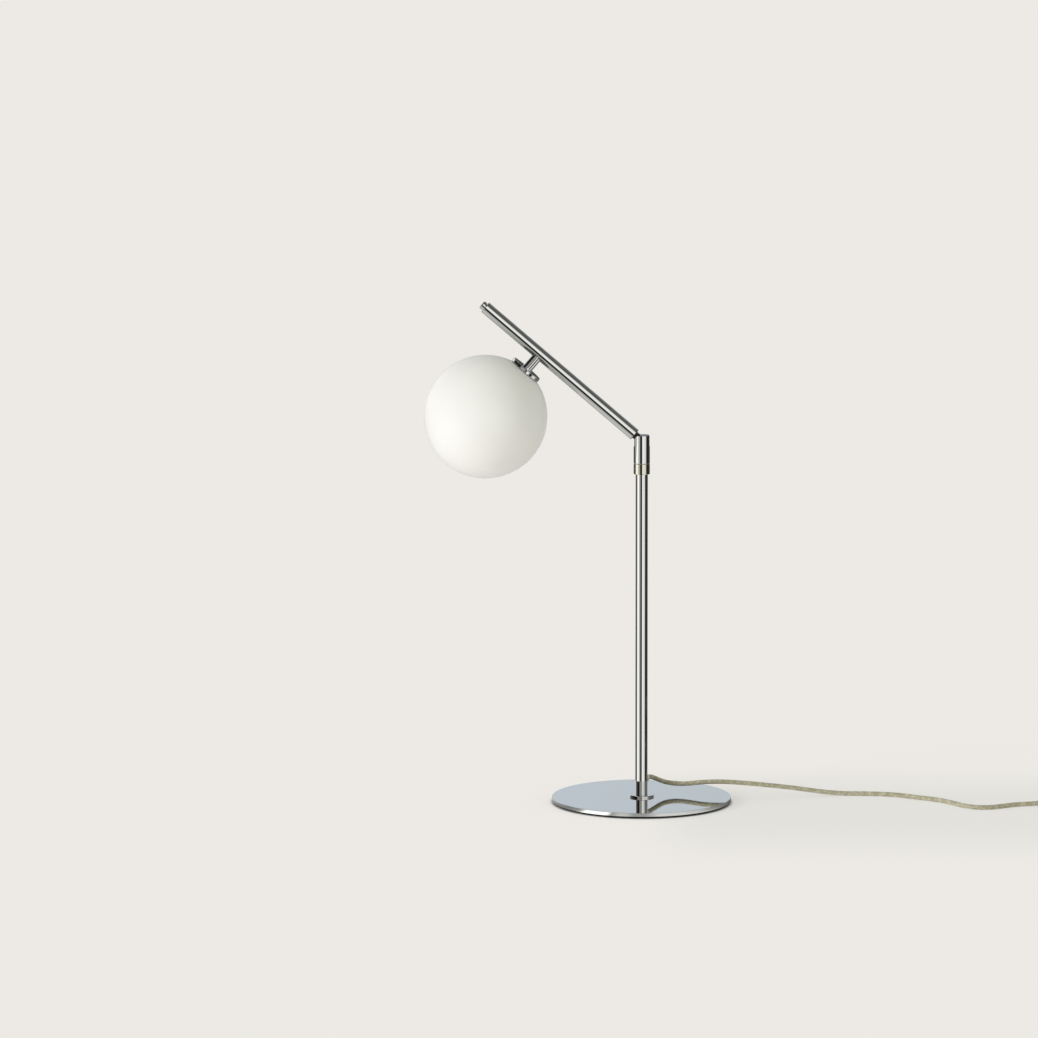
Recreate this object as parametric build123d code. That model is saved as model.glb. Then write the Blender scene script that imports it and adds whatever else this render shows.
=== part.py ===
"""Glass globe table lamp: a polished round base, a thin stem, a friction elbow and an arm
that carries an opal glass globe on a short neck.

Units are millimetres, +Z is up.  The origin is on the table, in the middle of the underside
of the base.  The arm leans towards -X and the flex leaves the back of the stem towards +X.
Each function builds one piece, or a few that belong together, where it sits on the lamp.
"""

from build123d import *

import math
import os

# ---------------------------------------------------------------- driving dimensions
BASE_DIAMETER = 175.0
BASE_THICKNESS = 4.0
PAD_DIAMETER = 168.0
PAD_THICKNESS = 1.5

STEM_DIAMETER = 12.0
TUBE_WALL = 1.0
FOOT_DIAMETER = 25.0
FOOT_THICKNESS = 2.0
FOOT_SPIGOT_LENGTH = 10.0
FOOT_SCREW_REACH = 7.5          # of the base screw into the foot's spigot
BASE_SCREW_RADIUS = 3.0
BASE_SCREW_HEAD = 6.0           # radius; the head's cone is half as tall as it is wide
BASE_SCREW_CONE = 3.0

ELBOW_DIAMETER = 16.0           # ring and sleeve of the swivel, the thick top of the stem
STEM_TOP = 323.9                # height of the stem's end above the table
RING_HEIGHT = 10.3
SLEEVE_TOP = 362.0
PIVOT_HEIGHT = 356.4            # height of the tilt axis above the table

ARM_RISE = 40.7                 # degrees above the horizontal, as photographed
ARM_START = 10.0                # distances along the arm are from the tilt axis
ARM_END = 200.0
NECK_AT = 130.5
NECK_DIAMETER = 10.0
CAP_DIAMETER = 33.0
CAP_THICKNESS = 3.6
CAP_FACE = 22.3                 # arm axis to the face of the cap that meets the globe

GLOBE_DIAMETER = 120.0
GLASS_THICKNESS = 2.8
GLOBE_DROP = 80.8               # arm axis to the middle of the globe

CORD_DIAMETER = 4.5
CORD_EXIT_HEIGHT = 23.0
CORD_EXIT_TURN = 55.0           # degrees from +X towards +Y, the back right of the stem
LEAST_BEND = 5.0                # wanted bend radius of the cord, in diameters

# the cord's way into the stem; distances run out along the exit from the stem's middle
GROMMET_NECK = 3.4
GROMMET_LIP = 4.4
GROMMET_INNER_LIP = 4.0
GROMMET_FACE = 8.2
GROMMET_BACK = 2.6
JACKET_END = 0.6
STOP_RADIUS = 3.4

# the in-line switch, about its own middle
SWITCH_MIDDLE = (455.0, -18.0)  # the in-line switch lies on the table here
SWITCH_SIZE = (62.0, 24.0, 16.0)
SWITCH_CORNER = 9.0
SWITCH_WALL = 2.0
CORD_HOLE_HEIGHT = 6.5          # also where the halves of the switch part
CLAMP_AT = 26.0                 # cord clamp from the switch's middle, at both ends
WINDOW_SIZE = (20.0, 11.4)
ROCKER_AXIS_HEIGHT = 12.0
ROCKER_AXLE_RADIUS = 1.5
ROCKER_REST_TILT = 8.0          # degrees; it tips as far the other way when pressed
ROCKER_WIDTH = 10.6
ROCKER_HALF_LENGTH = 9.2
SWITCH_SCREW_AT = (15.0, 7.6)
SWITCH_SCREW_RADIUS = 1.2

# the coil of spare cord on the table
COIL_MIDDLE = (524.0, 18.0)
COIL_RADIUS = 36.0              # middle of the outermost turn
COIL_PITCH = 5.0
COIL_HALF_TURNS = 7             # in each of its two layers
COIL_REVERSAL_TUCK = 0.9        # the innermost turn is drawn in by this much more

# the plug, a flat two-pin one; its pins point towards -X
PLUG_AXIS = (490.0, 55.2, 6.85)  # where the cord enters the plug's strain relief
PLUG_RELIEF = 25.0
PLUG_BODY = 37.0
PLUG_GRIP = 14.0
PLUG_WIDTH = 35.3
PLUG_FLAT = 26.1
PLUG_HEIGHT = 13.7
PLUG_PIN_SPACING = 18.6
PLUG_PIN_LENGTH = 19.0
PLUG_PIN_RADIUS = 2.0
PLUG_SHANK_RADIUS = 1.5
PLUG_SHANK_DEPTH = 8.0
PLUG_SLEEVE_LENGTH = 10.0
PLUG_PIN_LEAN = 1.66            # degrees, towards each other

# ---------------------------------------------------------------- sizes that follow
PLATE_TOP = PAD_THICKNESS + BASE_THICKNESS
FOOT_TOP = PLATE_TOP + FOOT_THICKNESS
STEM_RADIUS = STEM_DIAMETER / 2
BORE_RADIUS = STEM_RADIUS - TUBE_WALL
ELBOW_RADIUS = ELBOW_DIAMETER / 2
RING_TOP = STEM_TOP + RING_HEIGHT
CAP_TOP = CAP_FACE - CAP_THICKNESS
GLOBE_RADIUS = GLOBE_DIAMETER / 2
CORD_RADIUS = CORD_DIAMETER / 2
CORD_ON_TABLE = CORD_RADIUS

# swivel: a ring on the stem, and a journal in the sleeve with a groove for a set screw
SHANK_LENGTH = 14.0             # of the swivel in the stem, and of the knuckle in the arm
RING_LIP = 1.5                  # thickness of the ring's lip between stem and journal
RING_SCREW_RADIUS = 1.25
RING_SCREW_HEIGHT = 328.4
RING_SCREW_TURN = 208.0         # degrees from +X, under the arm and a little to the front
RING_SCREW_TIP = 5.9            # radius at which the tip ends, in a dimple of the journal
JOURNAL_RADIUS = 6.5
SLEEVE_BORE = 6.55
JOURNAL_TOP = 347.0
WIRE_BORE = 2.5
WASHER_THICKNESS = 0.5
GROOVE_HEIGHT = 340.0
GROOVE_WIDTH = 3.0
GROOVE_RADIUS = 5.5
GROOVE_LAND = 10.0              # half angle of the land that stops the screw
SET_SCREW_RADIUS = 1.5

# tilt joint: a slot in the sleeve and a hollow tongue between two friction washers
SLOT_WIDTH = 6.6
SLOT_FLOOR = 351.0
WEB_BOTTOM = 348.0
TONGUE_WIDTH = 5.4
TONGUE_RADIUS = 4.8
TONGUE_NECK = 7.0
FRICTION_WASHER = 0.55
PIN_RADIUS = 1.6
PIN_REACH = 1.75                # inner end of each half pin, from the middle of the elbow
PIN_SEAT = 6.4                  # outer end of the pressed half pin, inside the front cheek
PIVOT_HEAD_RADIUS = 2.55
PIVOT_HEAD_SEAT = 5.6
PIVOT_HEAD_TOP = 7.3
BEVEL_BOTTOM = 3.75             # corner of the sleeve below its top, at the side of the arm
WIRE_CHANNEL = 3.4
SHOULDER_START = 9.4

# globe gallery, measured from the arm axis down the neck
GASKET_THICKNESS = 0.5
GLASS_RIM = CAP_FACE + GASKET_THICKNESS
GLASS_OPENING_RADIUS = 13.0
GLASS_COLLAR_RADIUS = 15.0
GLASS_COLLAR_LENGTH = 7.5
SPIGOT_RADIUS = 12.7
SPIGOT_BORE = 11.2
SPIGOT_LENGTH = 7.7
NIPPLE_RADIUS = 3.9
NIPPLE_BORE = 2.8
BRACKET_THICKNESS = 0.8
NUT_THICKNESS = 3.0
HOLDER_TOP = 27.6
HOLDER_LENGTH = 16.0
HOLDER_RADIUS = 10.0
HOLDER_FLAT = 8.6
LAMP_RADIUS = 8.0
LAMP_BASE_LENGTH = 17.0
LAMP_LENGTH = 47.0
PIN_SPACING = 9.0
LAMP_PIN_RADIUS = 0.9
CONTACT_RADIUS = 1.6
HOLDER_SCREW_RADIUS = 1.25
HOLDER_SCREW_DROP = 4.0         # below the top of the holder

CORE_RADIUS = 0.75
CORE_OFFSET = 0.9               # each core from the middle of its tube

# ---------------------------------------------------------------- frames
ARM_SIN = math.sin(math.radians(ARM_RISE))
ARM_COS = math.cos(math.radians(ARM_RISE))
# In the arm's frame +X runs up the arm from the tilt axis and -Z runs down the neck.
ARM_FRAME = Plane(origin=(0, 0, PIVOT_HEIGHT), x_dir=(-ARM_COS, 0, ARM_SIN),
                  z_dir=(ARM_SIN, 0, ARM_COS))
EXIT_COS = math.cos(math.radians(CORD_EXIT_TURN))
EXIT_SIN = math.sin(math.radians(CORD_EXIT_TURN))
# In the exit's frame +Z runs out of the stem along the cord.
EXIT_FRAME = Plane(origin=(0, 0, CORD_EXIT_HEIGHT), x_dir=(-EXIT_SIN, EXIT_COS, 0),
                   z_dir=(EXIT_COS, EXIT_SIN, 0))


def on_arm(shape):
    """Carry a shape from the arm's own frame to its place on the lamp."""
    return ARM_FRAME.location * shape


def rod(radius, bottom, top):
    """A round bar on the Z axis between two heights."""
    return Pos(0, 0, bottom) * Cylinder(
        radius, top - bottom, align=(Align.CENTER, Align.CENTER, Align.MIN))


def tube(outer, inner, bottom, top):
    """A round tube on the Z axis between two heights."""
    return rod(outer, bottom, top) - rod(inner, bottom, top)


def slab(size_x, size_y, bottom, top):
    """A rectangular block centred on the Z axis between two heights."""
    return Pos(0, 0, bottom) * Box(
        size_x, size_y, top - bottom, align=(Align.CENTER, Align.CENTER, Align.MIN))


def along_x(shape):
    """Turn a shape that was drawn along +Z so that it runs along +X."""
    return Rot(0, 90, 0) * shape


def along_y(shape):
    """Turn a shape that was drawn along +Z so that it runs along +Y."""
    return Rot(-90, 0, 0) * shape


def rim_edges(shape, radius, height):
    """The circular edges of one radius at one height."""
    return [edge for edge in shape.edges().filter_by(GeomType.CIRCLE)
            if abs(edge.radius - radius) < 0.01 and abs(edge.center().Z - height) < 0.01]


def pair(offset, shape):
    """Two copies of a shape, moved by plus and minus an offset."""
    x, y, z = offset
    return Compound(children=[Pos(x, y, z) * shape, Pos(-x, -y, -z) * shape])


# ---------------------------------------------------------------- base and stem
def base_pad():
    """Soft pad under the plate, set in from its edge, that stands on the table."""
    return rod(PAD_DIAMETER / 2, 0, PAD_THICKNESS)


def screw_cone():
    """The cone of the base screw's head, which is also its seat in the plate."""
    return Pos(0, 0, PAD_THICKNESS) * Cone(
        BASE_SCREW_HEAD, BASE_SCREW_RADIUS, BASE_SCREW_CONE,
        align=(Align.CENTER, Align.CENTER, Align.MIN))


def base_plate():
    """Polished steel disc with eased edges, countersunk from below for the stem's screw."""
    radius = BASE_DIAMETER / 2
    plate = rod(radius, PAD_THICKNESS, PLATE_TOP)
    plate = chamfer(rim_edges(plate, radius, PLATE_TOP), 0.5)
    plate = chamfer(rim_edges(plate, radius, PAD_THICKNESS), 0.3)
    return plate - screw_cone() - rod(BASE_SCREW_RADIUS, PAD_THICKNESS, PLATE_TOP)


def base_screw():
    """M6 countersunk screw with a hexagon socket, driven up into the foot."""
    shank = rod(BASE_SCREW_RADIUS, PAD_THICKNESS + BASE_SCREW_CONE, FOOT_TOP + FOOT_SCREW_REACH)
    socket = Pos(0, 0, PAD_THICKNESS) * extrude(RegularPolygon(2.3, 6), 2.6)
    return screw_cone() + shank - socket


def stem_foot():
    """Turned collar that seats on the plate, with a spigot inside the stem."""
    radius = FOOT_DIAMETER / 2
    collar = chamfer(rim_edges(rod(radius, PLATE_TOP, FOOT_TOP), radius, FOOT_TOP), 0.4)
    spigot = rod(BORE_RADIUS, FOOT_TOP, FOOT_TOP + FOOT_SPIGOT_LENGTH)
    spigot = chamfer(rim_edges(spigot, BORE_RADIUS, FOOT_TOP + FOOT_SPIGOT_LENGTH), 0.6)
    bore = rod(BASE_SCREW_RADIUS, PLATE_TOP, FOOT_TOP + FOOT_SCREW_REACH + 1.0)
    return collar + spigot - bore


def stem_tube():
    """Polished tube with a drilled hole for the cord's grommet low on its back."""
    hole = EXIT_FRAME.location * rod(GROMMET_NECK, 0, STEM_RADIUS + 1)
    return tube(STEM_RADIUS, BORE_RADIUS, FOOT_TOP, STEM_TOP) - hole


def cord_grommet():
    """Soft bush in the stem's side hole: a lip outside, a neck and a lip inside."""
    lip = fillet(rim_edges(rod(GROMMET_LIP, 0, GROMMET_FACE), GROMMET_LIP, GROMMET_FACE), 0.9)
    outside = EXIT_FRAME.location * lip - rod(STEM_RADIUS, 0, 2 * CORD_EXIT_HEIGHT)
    neck = EXIT_FRAME.location * rod(GROMMET_NECK, GROMMET_BACK, GROMMET_FACE - 0.5)
    inner_lip = EXIT_FRAME.location * rod(GROMMET_INNER_LIP, GROMMET_BACK, STEM_RADIUS)
    inside = inner_lip & rod(BORE_RADIUS, 0, 2 * CORD_EXIT_HEIGHT)
    bore = EXIT_FRAME.location * rod(CORD_RADIUS, 0, GROMMET_FACE)
    return outside + neck + inside - bore


def cord_inlet():
    """The cord's jacket through the grommet, ending just inside the stem."""
    return EXIT_FRAME.location * rod(CORD_RADIUS, JACKET_END, GROMMET_FACE)


def cord_stop():
    """Crimped ring on the jacket, behind the grommet, that takes a pull on the cord."""
    ring = tube(STOP_RADIUS, CORD_RADIUS, JACKET_END + 0.2, GROMMET_BACK)
    return EXIT_FRAME.location * ring


def stem_wires():
    """The cord's two cores, from the jacket's end up the stem to the elbow."""
    cores = []
    for side in (-1, 1):
        start = EXIT_FRAME.from_local_coords((side * CORE_OFFSET, 0, JACKET_END))
        turn = EXIT_FRAME.from_local_coords((side * CORE_OFFSET, 0, -1.2))
        top = Vector(turn.X, turn.Y, JOURNAL_TOP)
        path = FilletPolyline(start, turn, top, radius=1.6)
        section = Plane(origin=start, z_dir=turn - start) * Circle(CORE_RADIUS)
        cores.append(sweep(section, path=path))
    return Compound(children=cores)


# ---------------------------------------------------------------- elbow: swivel and tilt
def at_ring_screw(shape):
    """Carry a shape drawn along +Z from the stem's axis to the place of the ring's screw."""
    return Pos(0, 0, RING_SCREW_HEIGHT) * Rot(0, 0, RING_SCREW_TURN) * along_x(shape)


def swivel_spigot():
    """Brass piece in the top of the stem: shank, journal and stop groove."""
    shank_end = STEM_TOP - SHANK_LENGTH
    shoulder = STEM_TOP + RING_LIP
    shank = rod(BORE_RADIUS, shank_end, shoulder)
    shank = chamfer(rim_edges(shank, BORE_RADIUS, shank_end), 0.5)
    journal = rod(JOURNAL_RADIUS, shoulder, JOURNAL_TOP)
    journal = chamfer(rim_edges(journal, JOURNAL_RADIUS, JOURNAL_TOP), 0.5)
    low, high = GROOVE_HEIGHT - GROOVE_WIDTH / 2, GROOVE_HEIGHT + GROOVE_WIDTH / 2
    ring = Plane.XZ * Polyline(
        (GROOVE_RADIUS, low), (JOURNAL_RADIUS + 1, low), (JOURNAL_RADIUS + 1, high),
        (GROOVE_RADIUS, high), (GROOVE_RADIUS, low))
    groove = revolve(make_face(ring), axis=Axis.Z, revolution_arc=360 - 2 * GROOVE_LAND)
    groove = Rot(0, 0, -90 + GROOVE_LAND) * groove
    wire_bore = rod(WIRE_BORE, shank_end, JOURNAL_TOP)
    dimple = at_ring_screw(rod(1.0, RING_SCREW_TIP - 0.1, JOURNAL_RADIUS + 1))
    return shank + journal - groove - wire_bore - dimple


def swivel_ring():
    """Turned ring on the stem's end; its lip is clamped under the journal's shoulder."""
    ring = rod(ELBOW_RADIUS, STEM_TOP, RING_TOP)
    ring = chamfer(rim_edges(ring, ELBOW_RADIUS, STEM_TOP), 0.3)
    ring = chamfer(rim_edges(ring, ELBOW_RADIUS, RING_TOP), 0.2)
    ring = ring - rod(JOURNAL_RADIUS, STEM_TOP + RING_LIP, RING_TOP)
    screw_hole = at_ring_screw(rod(RING_SCREW_RADIUS, JOURNAL_RADIUS - 1, ELBOW_RADIUS + 1))
    return ring - rod(BORE_RADIUS, STEM_TOP, RING_TOP) - screw_hole


def ring_screw():
    """Grub screw through the ring that locks it to the journal."""
    body = rod(RING_SCREW_RADIUS, JOURNAL_RADIUS + 0.05, ELBOW_RADIUS - 0.35)
    tip = rod(0.9, RING_SCREW_TIP, JOURNAL_RADIUS + 0.1)
    socket = Pos(0, 0, ELBOW_RADIUS - 1.0) * extrude(RegularPolygon(0.7, 6), 1)
    return at_ring_screw(body + tip - socket)


def swivel_washer():
    """Thin slip washer in the gap between the ring and the turning sleeve."""
    return tube(ELBOW_RADIUS - 0.5, JOURNAL_RADIUS + 0.1, RING_TOP, RING_TOP + WASHER_THICKNESS)


def head_sleeve():
    """Polished sleeve that turns on the journal; its slotted top holds the arm's tongue."""
    bottom = RING_TOP + WASHER_THICKNESS
    body = rod(ELBOW_RADIUS, bottom, SLEEVE_TOP)
    body = chamfer(rim_edges(body, ELBOW_RADIUS, SLEEVE_TOP), 0.4)
    body = body - rod(SLEEVE_BORE, bottom, WEB_BOTTOM)
    body = body - rod(WIRE_BORE, WEB_BOTTOM, SLOT_FLOOR)
    body = body - slab(2 * ELBOW_DIAMETER, SLOT_WIDTH, SLOT_FLOOR, SLEEVE_TOP + 1)
    # the top corner under the arm is bevelled, clear of the end of the arm's tube
    corner = Plane.XZ * Polyline(
        (-ELBOW_RADIUS - 1, SLEEVE_TOP - BEVEL_BOTTOM), (-ELBOW_RADIUS / 2 + 1, SLEEVE_TOP + 0.75),
        (-ELBOW_RADIUS - 1, SLEEVE_TOP + 0.75), (-ELBOW_RADIUS - 1, SLEEVE_TOP - BEVEL_BOTTOM))
    body = body - extrude(make_face(corner), ELBOW_DIAMETER, both=True)
    screw_hole = along_y(rod(SET_SCREW_RADIUS, SLEEVE_BORE - 1, ELBOW_RADIUS + 1))
    pin_hole = along_y(rod(PIN_RADIUS, -PIN_SEAT, ELBOW_RADIUS))
    head_seat = along_y(rod(PIVOT_HEAD_RADIUS + 0.05, PIVOT_HEAD_SEAT, ELBOW_RADIUS + 1))
    body = body - Pos(0, 0, GROOVE_HEIGHT) * screw_hole
    return body - Pos(0, 0, PIVOT_HEIGHT) * pin_hole - Pos(0, 0, PIVOT_HEIGHT) * head_seat


def swivel_set_screw():
    """Grub screw in the back of the sleeve; its nose runs in the journal's groove."""
    body = along_y(rod(SET_SCREW_RADIUS, SLEEVE_BORE + 0.05, ELBOW_RADIUS - 0.25))
    nose = along_y(rod(1.0, GROOVE_RADIUS + 0.1, SLEEVE_BORE + 0.1))
    socket = along_y(Pos(0, 0, ELBOW_RADIUS - 0.9) * extrude(RegularPolygon(0.85, 6), 1))
    return Pos(0, 0, GROOVE_HEIGHT) * (body + nose - socket)


def pivot_pin():
    """Half pin pressed into the front cheek from inside, so the cheek stays unbroken."""
    return Pos(0, 0, PIVOT_HEIGHT) * along_y(rod(PIN_RADIUS, -PIN_SEAT, -PIN_REACH))


def pivot_screw():
    """Shouldered half pin that screws in from the back cheek, with a slotted head."""
    shank = rod(PIN_RADIUS, PIN_REACH, PIVOT_HEAD_SEAT)
    head = rod(PIVOT_HEAD_RADIUS, PIVOT_HEAD_SEAT, PIVOT_HEAD_TOP)
    head = chamfer(rim_edges(head, PIVOT_HEAD_RADIUS, PIVOT_HEAD_TOP), 0.25)
    slot = slab(0.8, 6, PIVOT_HEAD_TOP - 0.7, PIVOT_HEAD_TOP + 0.1)
    return Pos(0, 0, PIVOT_HEIGHT) * along_y(shank + head - slot)


def friction_washers():
    """Two washers that the cheeks squeeze against the tongue, so the arm stays put."""
    inner = TONGUE_WIDTH / 2 + 0.02
    washer = tube(TONGUE_RADIUS - 0.4, PIN_RADIUS + 0.05, inner, inner + FRICTION_WASHER)
    both = Compound(children=[along_y(washer), Rot(0, 0, 180) * along_y(washer)])
    return Pos(0, 0, PIVOT_HEIGHT) * both


def arm_knuckle():
    """Lower end of the arm: a hollow tongue with a round eye, a shoulder and a plug.

    The cores come up from the stem through the fan-shaped opening below the eye, pass
    between the two half pins and run on through the plug into the arm.
    """
    half = TONGUE_WIDTH / 2
    eye = along_y(rod(TONGUE_RADIUS, -half, half))
    neck = along_x(slab(TONGUE_NECK, TONGUE_WIDTH, 0, SHOULDER_START))
    shoulder = along_x(rod(STEM_RADIUS - 0.1, SHOULDER_START, ARM_START))
    plug = along_x(rod(BORE_RADIUS, ARM_START, ARM_START + SHANK_LENGTH))
    body = eye + neck + shoulder + plug
    pins = along_y(rod(PIN_RADIUS + 0.05, -half, half))
    channel = along_x(rod(WIRE_CHANNEL / 2, 0, ARM_START + SHANK_LENGTH))
    reach = TONGUE_RADIUS + 2
    fan_points = [(1.2, 1.2)]
    for angle in (-75, -128, -182):
        turn = math.radians(angle)
        fan_points.append((reach * math.cos(turn), reach * math.sin(turn)))
    fan = extrude(make_face(Plane.XZ * Polyline(*fan_points, fan_points[0])),
                  WIRE_CHANNEL / 2, both=True)
    return on_arm(body - pins - channel - fan)


# ---------------------------------------------------------------- arm
def arm_tube():
    """Polished arm, with a hole underneath where the neck stands on it."""
    body = along_x(tube(STEM_RADIUS, BORE_RADIUS, ARM_START, ARM_END))
    hole = Pos(NECK_AT, 0, 0) * rod(NECK_DIAMETER / 2 - TUBE_WALL, -STEM_RADIUS - 1, 0)
    return on_arm(body - hole)


def arm_end_cap():
    """Turned button that closes the arm, with a groove between it and the tube."""
    plug = rod(BORE_RADIUS, ARM_END - 9, ARM_END)
    waist = rod(3.3, ARM_END, ARM_END + 0.9)
    button = rod(4.2, ARM_END + 0.9, ARM_END + 4.3)
    button = fillet(rim_edges(button, 4.2, ARM_END + 4.3), 0.8)
    button = chamfer(rim_edges(button, 4.2, ARM_END + 0.9), 0.3)
    return on_arm(along_x(plug + waist + button))


def arm_wires():
    """The two cores inside the arm and the neck, from the knuckle to the lamp holder."""
    cores = []
    start_x = ARM_START + SHANK_LENGTH
    for side in (-1, 1):
        y = side * CORE_OFFSET
        path = FilletPolyline((start_x, y, 0), (NECK_AT, y, 0), (NECK_AT, y, -HOLDER_TOP),
                              radius=2.6)
        section = Plane(origin=(start_x, y, 0), z_dir=(1, 0, 0)) * Circle(CORE_RADIUS)
        cores.append(sweep(section, path=path))
    return on_arm(Compound(children=cores))


# ---------------------------------------------------------------- neck, cap and lamp holder
def down_neck(shape):
    """Carry a shape drawn along the neck's axis, with Z = 0 on the arm axis."""
    return on_arm(Pos(NECK_AT, 0, 0) * shape)


def neck_tube():
    """Short tube, mitred to the round of the arm, that carries the cap."""
    radius = NECK_DIAMETER / 2
    neck = tube(radius, radius - TUBE_WALL, -CAP_TOP, 0)
    return down_neck(neck - along_x(rod(STEM_RADIUS, -20, 20)))


def neck_nipple():
    """Hollow threaded nipple through neck and cap that the nut pulls on."""
    return down_neck(tube(NIPPLE_RADIUS, NIPPLE_BORE, -HOLDER_TOP + 0.3, -8.0))


def globe_cap():
    """Polished disc over the globe's opening, with the spigot that the glass screws on."""
    radius = CAP_DIAMETER / 2
    disc = rod(radius, -CAP_FACE, -CAP_TOP)
    disc = chamfer(rim_edges(disc, radius, -CAP_TOP), 0.5)
    disc = chamfer(rim_edges(disc, radius, -CAP_FACE), 0.3)
    spigot = tube(SPIGOT_RADIUS, SPIGOT_BORE, -CAP_FACE - SPIGOT_LENGTH, -CAP_FACE)
    hole = rod(NIPPLE_RADIUS, -CAP_FACE, -CAP_TOP)
    return down_neck(disc + spigot - hole)


def globe_gasket():
    """Silicone ring between the cap and the rim of the glass."""
    return down_neck(tube(15.0, SPIGOT_RADIUS + 0.1, -GLASS_RIM, -CAP_FACE))


def glass_globe():
    """Blown opal globe with a short collar turned in at its opening."""
    inner = GLOBE_RADIUS - GLASS_THICKNESS
    rim = GLOBE_DROP - GLASS_RIM
    rim_radius = math.sqrt(GLOBE_RADIUS ** 2 - rim ** 2)
    collar_top = math.sqrt(inner ** 2 - GLASS_COLLAR_RADIUS ** 2)
    collar_end = rim - GLASS_COLLAR_LENGTH
    profile = Wire([
        CenterArc((0, 0), GLOBE_RADIUS, -90,
                  90 + math.degrees(math.atan2(rim, rim_radius))).edge(),
        Line((rim_radius, rim), (GLASS_OPENING_RADIUS, rim)).edge(),
        Line((GLASS_OPENING_RADIUS, rim), (GLASS_OPENING_RADIUS, collar_end)).edge(),
        Line((GLASS_OPENING_RADIUS, collar_end), (GLASS_COLLAR_RADIUS, collar_end)).edge(),
        Line((GLASS_COLLAR_RADIUS, collar_end), (GLASS_COLLAR_RADIUS, collar_top)).edge(),
        CenterArc((0, 0), inner, -90,
                  90 + math.degrees(math.atan2(collar_top, GLASS_COLLAR_RADIUS))).edge(),
        Line((0, -inner), (0, -GLOBE_RADIUS)).edge(),
    ])
    shell = revolve(Plane.XZ * make_face(profile), axis=Axis.Z)
    return down_neck(Pos(0, 0, -GLOBE_DROP) * shell)


def holder_bracket():
    """Pressed plate under the cap, with two tabs folded down beside the lamp holder."""
    top = -CAP_FACE
    plate = rod(SPIGOT_BORE - 0.4, top - BRACKET_THICKNESS, top)
    plate = plate - rod(NIPPLE_RADIUS, top - BRACKET_THICKNESS, top)
    body = plate
    for side in (-1, 1):
        y = side * (HOLDER_FLAT + BRACKET_THICKNESS / 2)
        tab = Pos(0, y, 0) * slab(7.0, BRACKET_THICKNESS, -HOLDER_TOP - 7, top - 0.1)
        hole = along_y(rod(HOLDER_SCREW_RADIUS, y - 1, y + 1))
        body = body + (tab - Pos(0, 0, -HOLDER_TOP - HOLDER_SCREW_DROP) * hole)
    return down_neck(body)


def neck_nut():
    """Hexagon nut on the nipple that clamps neck, cap and bracket together."""
    top = -CAP_FACE - BRACKET_THICKNESS
    nut = Pos(0, 0, top - NUT_THICKNESS) * extrude(RegularPolygon(7.0, 6), NUT_THICKNESS)
    return down_neck(nut - rod(NIPPLE_RADIUS, top - NUT_THICKNESS, top))


def lamp_holder():
    """Ceramic two-pin lamp holder with flats for the bracket and two pin sockets."""
    bottom = -HOLDER_TOP - HOLDER_LENGTH
    body = rod(HOLDER_RADIUS, bottom, -HOLDER_TOP)
    body = body & slab(2 * HOLDER_RADIUS, 2 * HOLDER_FLAT, bottom, -HOLDER_TOP)
    for side in (-1, 1):
        socket = Pos(side * PIN_SPACING / 2, 0, 0) * rod(CONTACT_RADIUS, bottom, bottom + 12)
        y = side * (HOLDER_FLAT - 2.3)
        screw = along_y(rod(HOLDER_SCREW_RADIUS, y - 2.5, y + 2.5))
        body = body - socket - Pos(0, 0, -HOLDER_TOP - HOLDER_SCREW_DROP) * screw
    return down_neck(body)


def holder_contacts():
    """Two sprung sleeves in the lamp holder that grip the lamp's pins."""
    bottom = -HOLDER_TOP - HOLDER_LENGTH + 2
    sleeve = tube(CONTACT_RADIUS, LAMP_PIN_RADIUS + 0.05, bottom, bottom + 9)
    return down_neck(pair((PIN_SPACING / 2, 0, 0), sleeve))


def holder_screws():
    """Two short screws through the bracket's tabs into the lamp holder."""
    screws = []
    for side in (-1, 1):
        outer = HOLDER_FLAT + BRACKET_THICKNESS
        shank = along_y(rod(HOLDER_SCREW_RADIUS, HOLDER_FLAT - 3.6, outer))
        head = along_y(fillet(rim_edges(rod(2.0, outer, outer + 1.1), 2.0, outer + 1.1), 0.4))
        screws.append(Rot(0, 0, 0 if side > 0 else 180) * (shank + head))
    return down_neck(Pos(0, 0, -HOLDER_TOP - HOLDER_SCREW_DROP) * Compound(children=screws))


def lamp_base():
    """Ceramic foot of the lamp, seated against the lamp holder."""
    top = -HOLDER_TOP - HOLDER_LENGTH
    foot = rod(LAMP_RADIUS, top - LAMP_BASE_LENGTH, top)
    foot = chamfer(rim_edges(foot, LAMP_RADIUS, top), 1.2)
    for side in (-1, 1):
        foot = foot - Pos(side * PIN_SPACING / 2, 0, 0) * rod(LAMP_PIN_RADIUS, top - 4, top)
    return down_neck(foot)


def lamp_pins():
    """The lamp's two pins, from its foot into the holder's contacts."""
    top = -HOLDER_TOP - HOLDER_LENGTH
    pin = rod(LAMP_PIN_RADIUS, top - 4, top + 10)
    pin = chamfer(rim_edges(pin, LAMP_PIN_RADIUS, top + 10), 0.3)
    return down_neck(pair((PIN_SPACING / 2, 0, 0), pin))


def lamp_dome():
    """Frosted cover of the lamp, a hollow thimble with a round end."""
    top = -HOLDER_TOP - HOLDER_LENGTH - LAMP_BASE_LENGTH
    length = LAMP_LENGTH - LAMP_BASE_LENGTH
    outer = LAMP_RADIUS - 0.4
    inner = outer - 1.0
    low = length - outer
    shell = rod(outer, top - low, top) + Pos(0, 0, top - low) * Sphere(outer)
    hollow = rod(inner, top - low, top) + Pos(0, 0, top - low) * Sphere(inner)
    return down_neck(shell - hollow)


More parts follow.
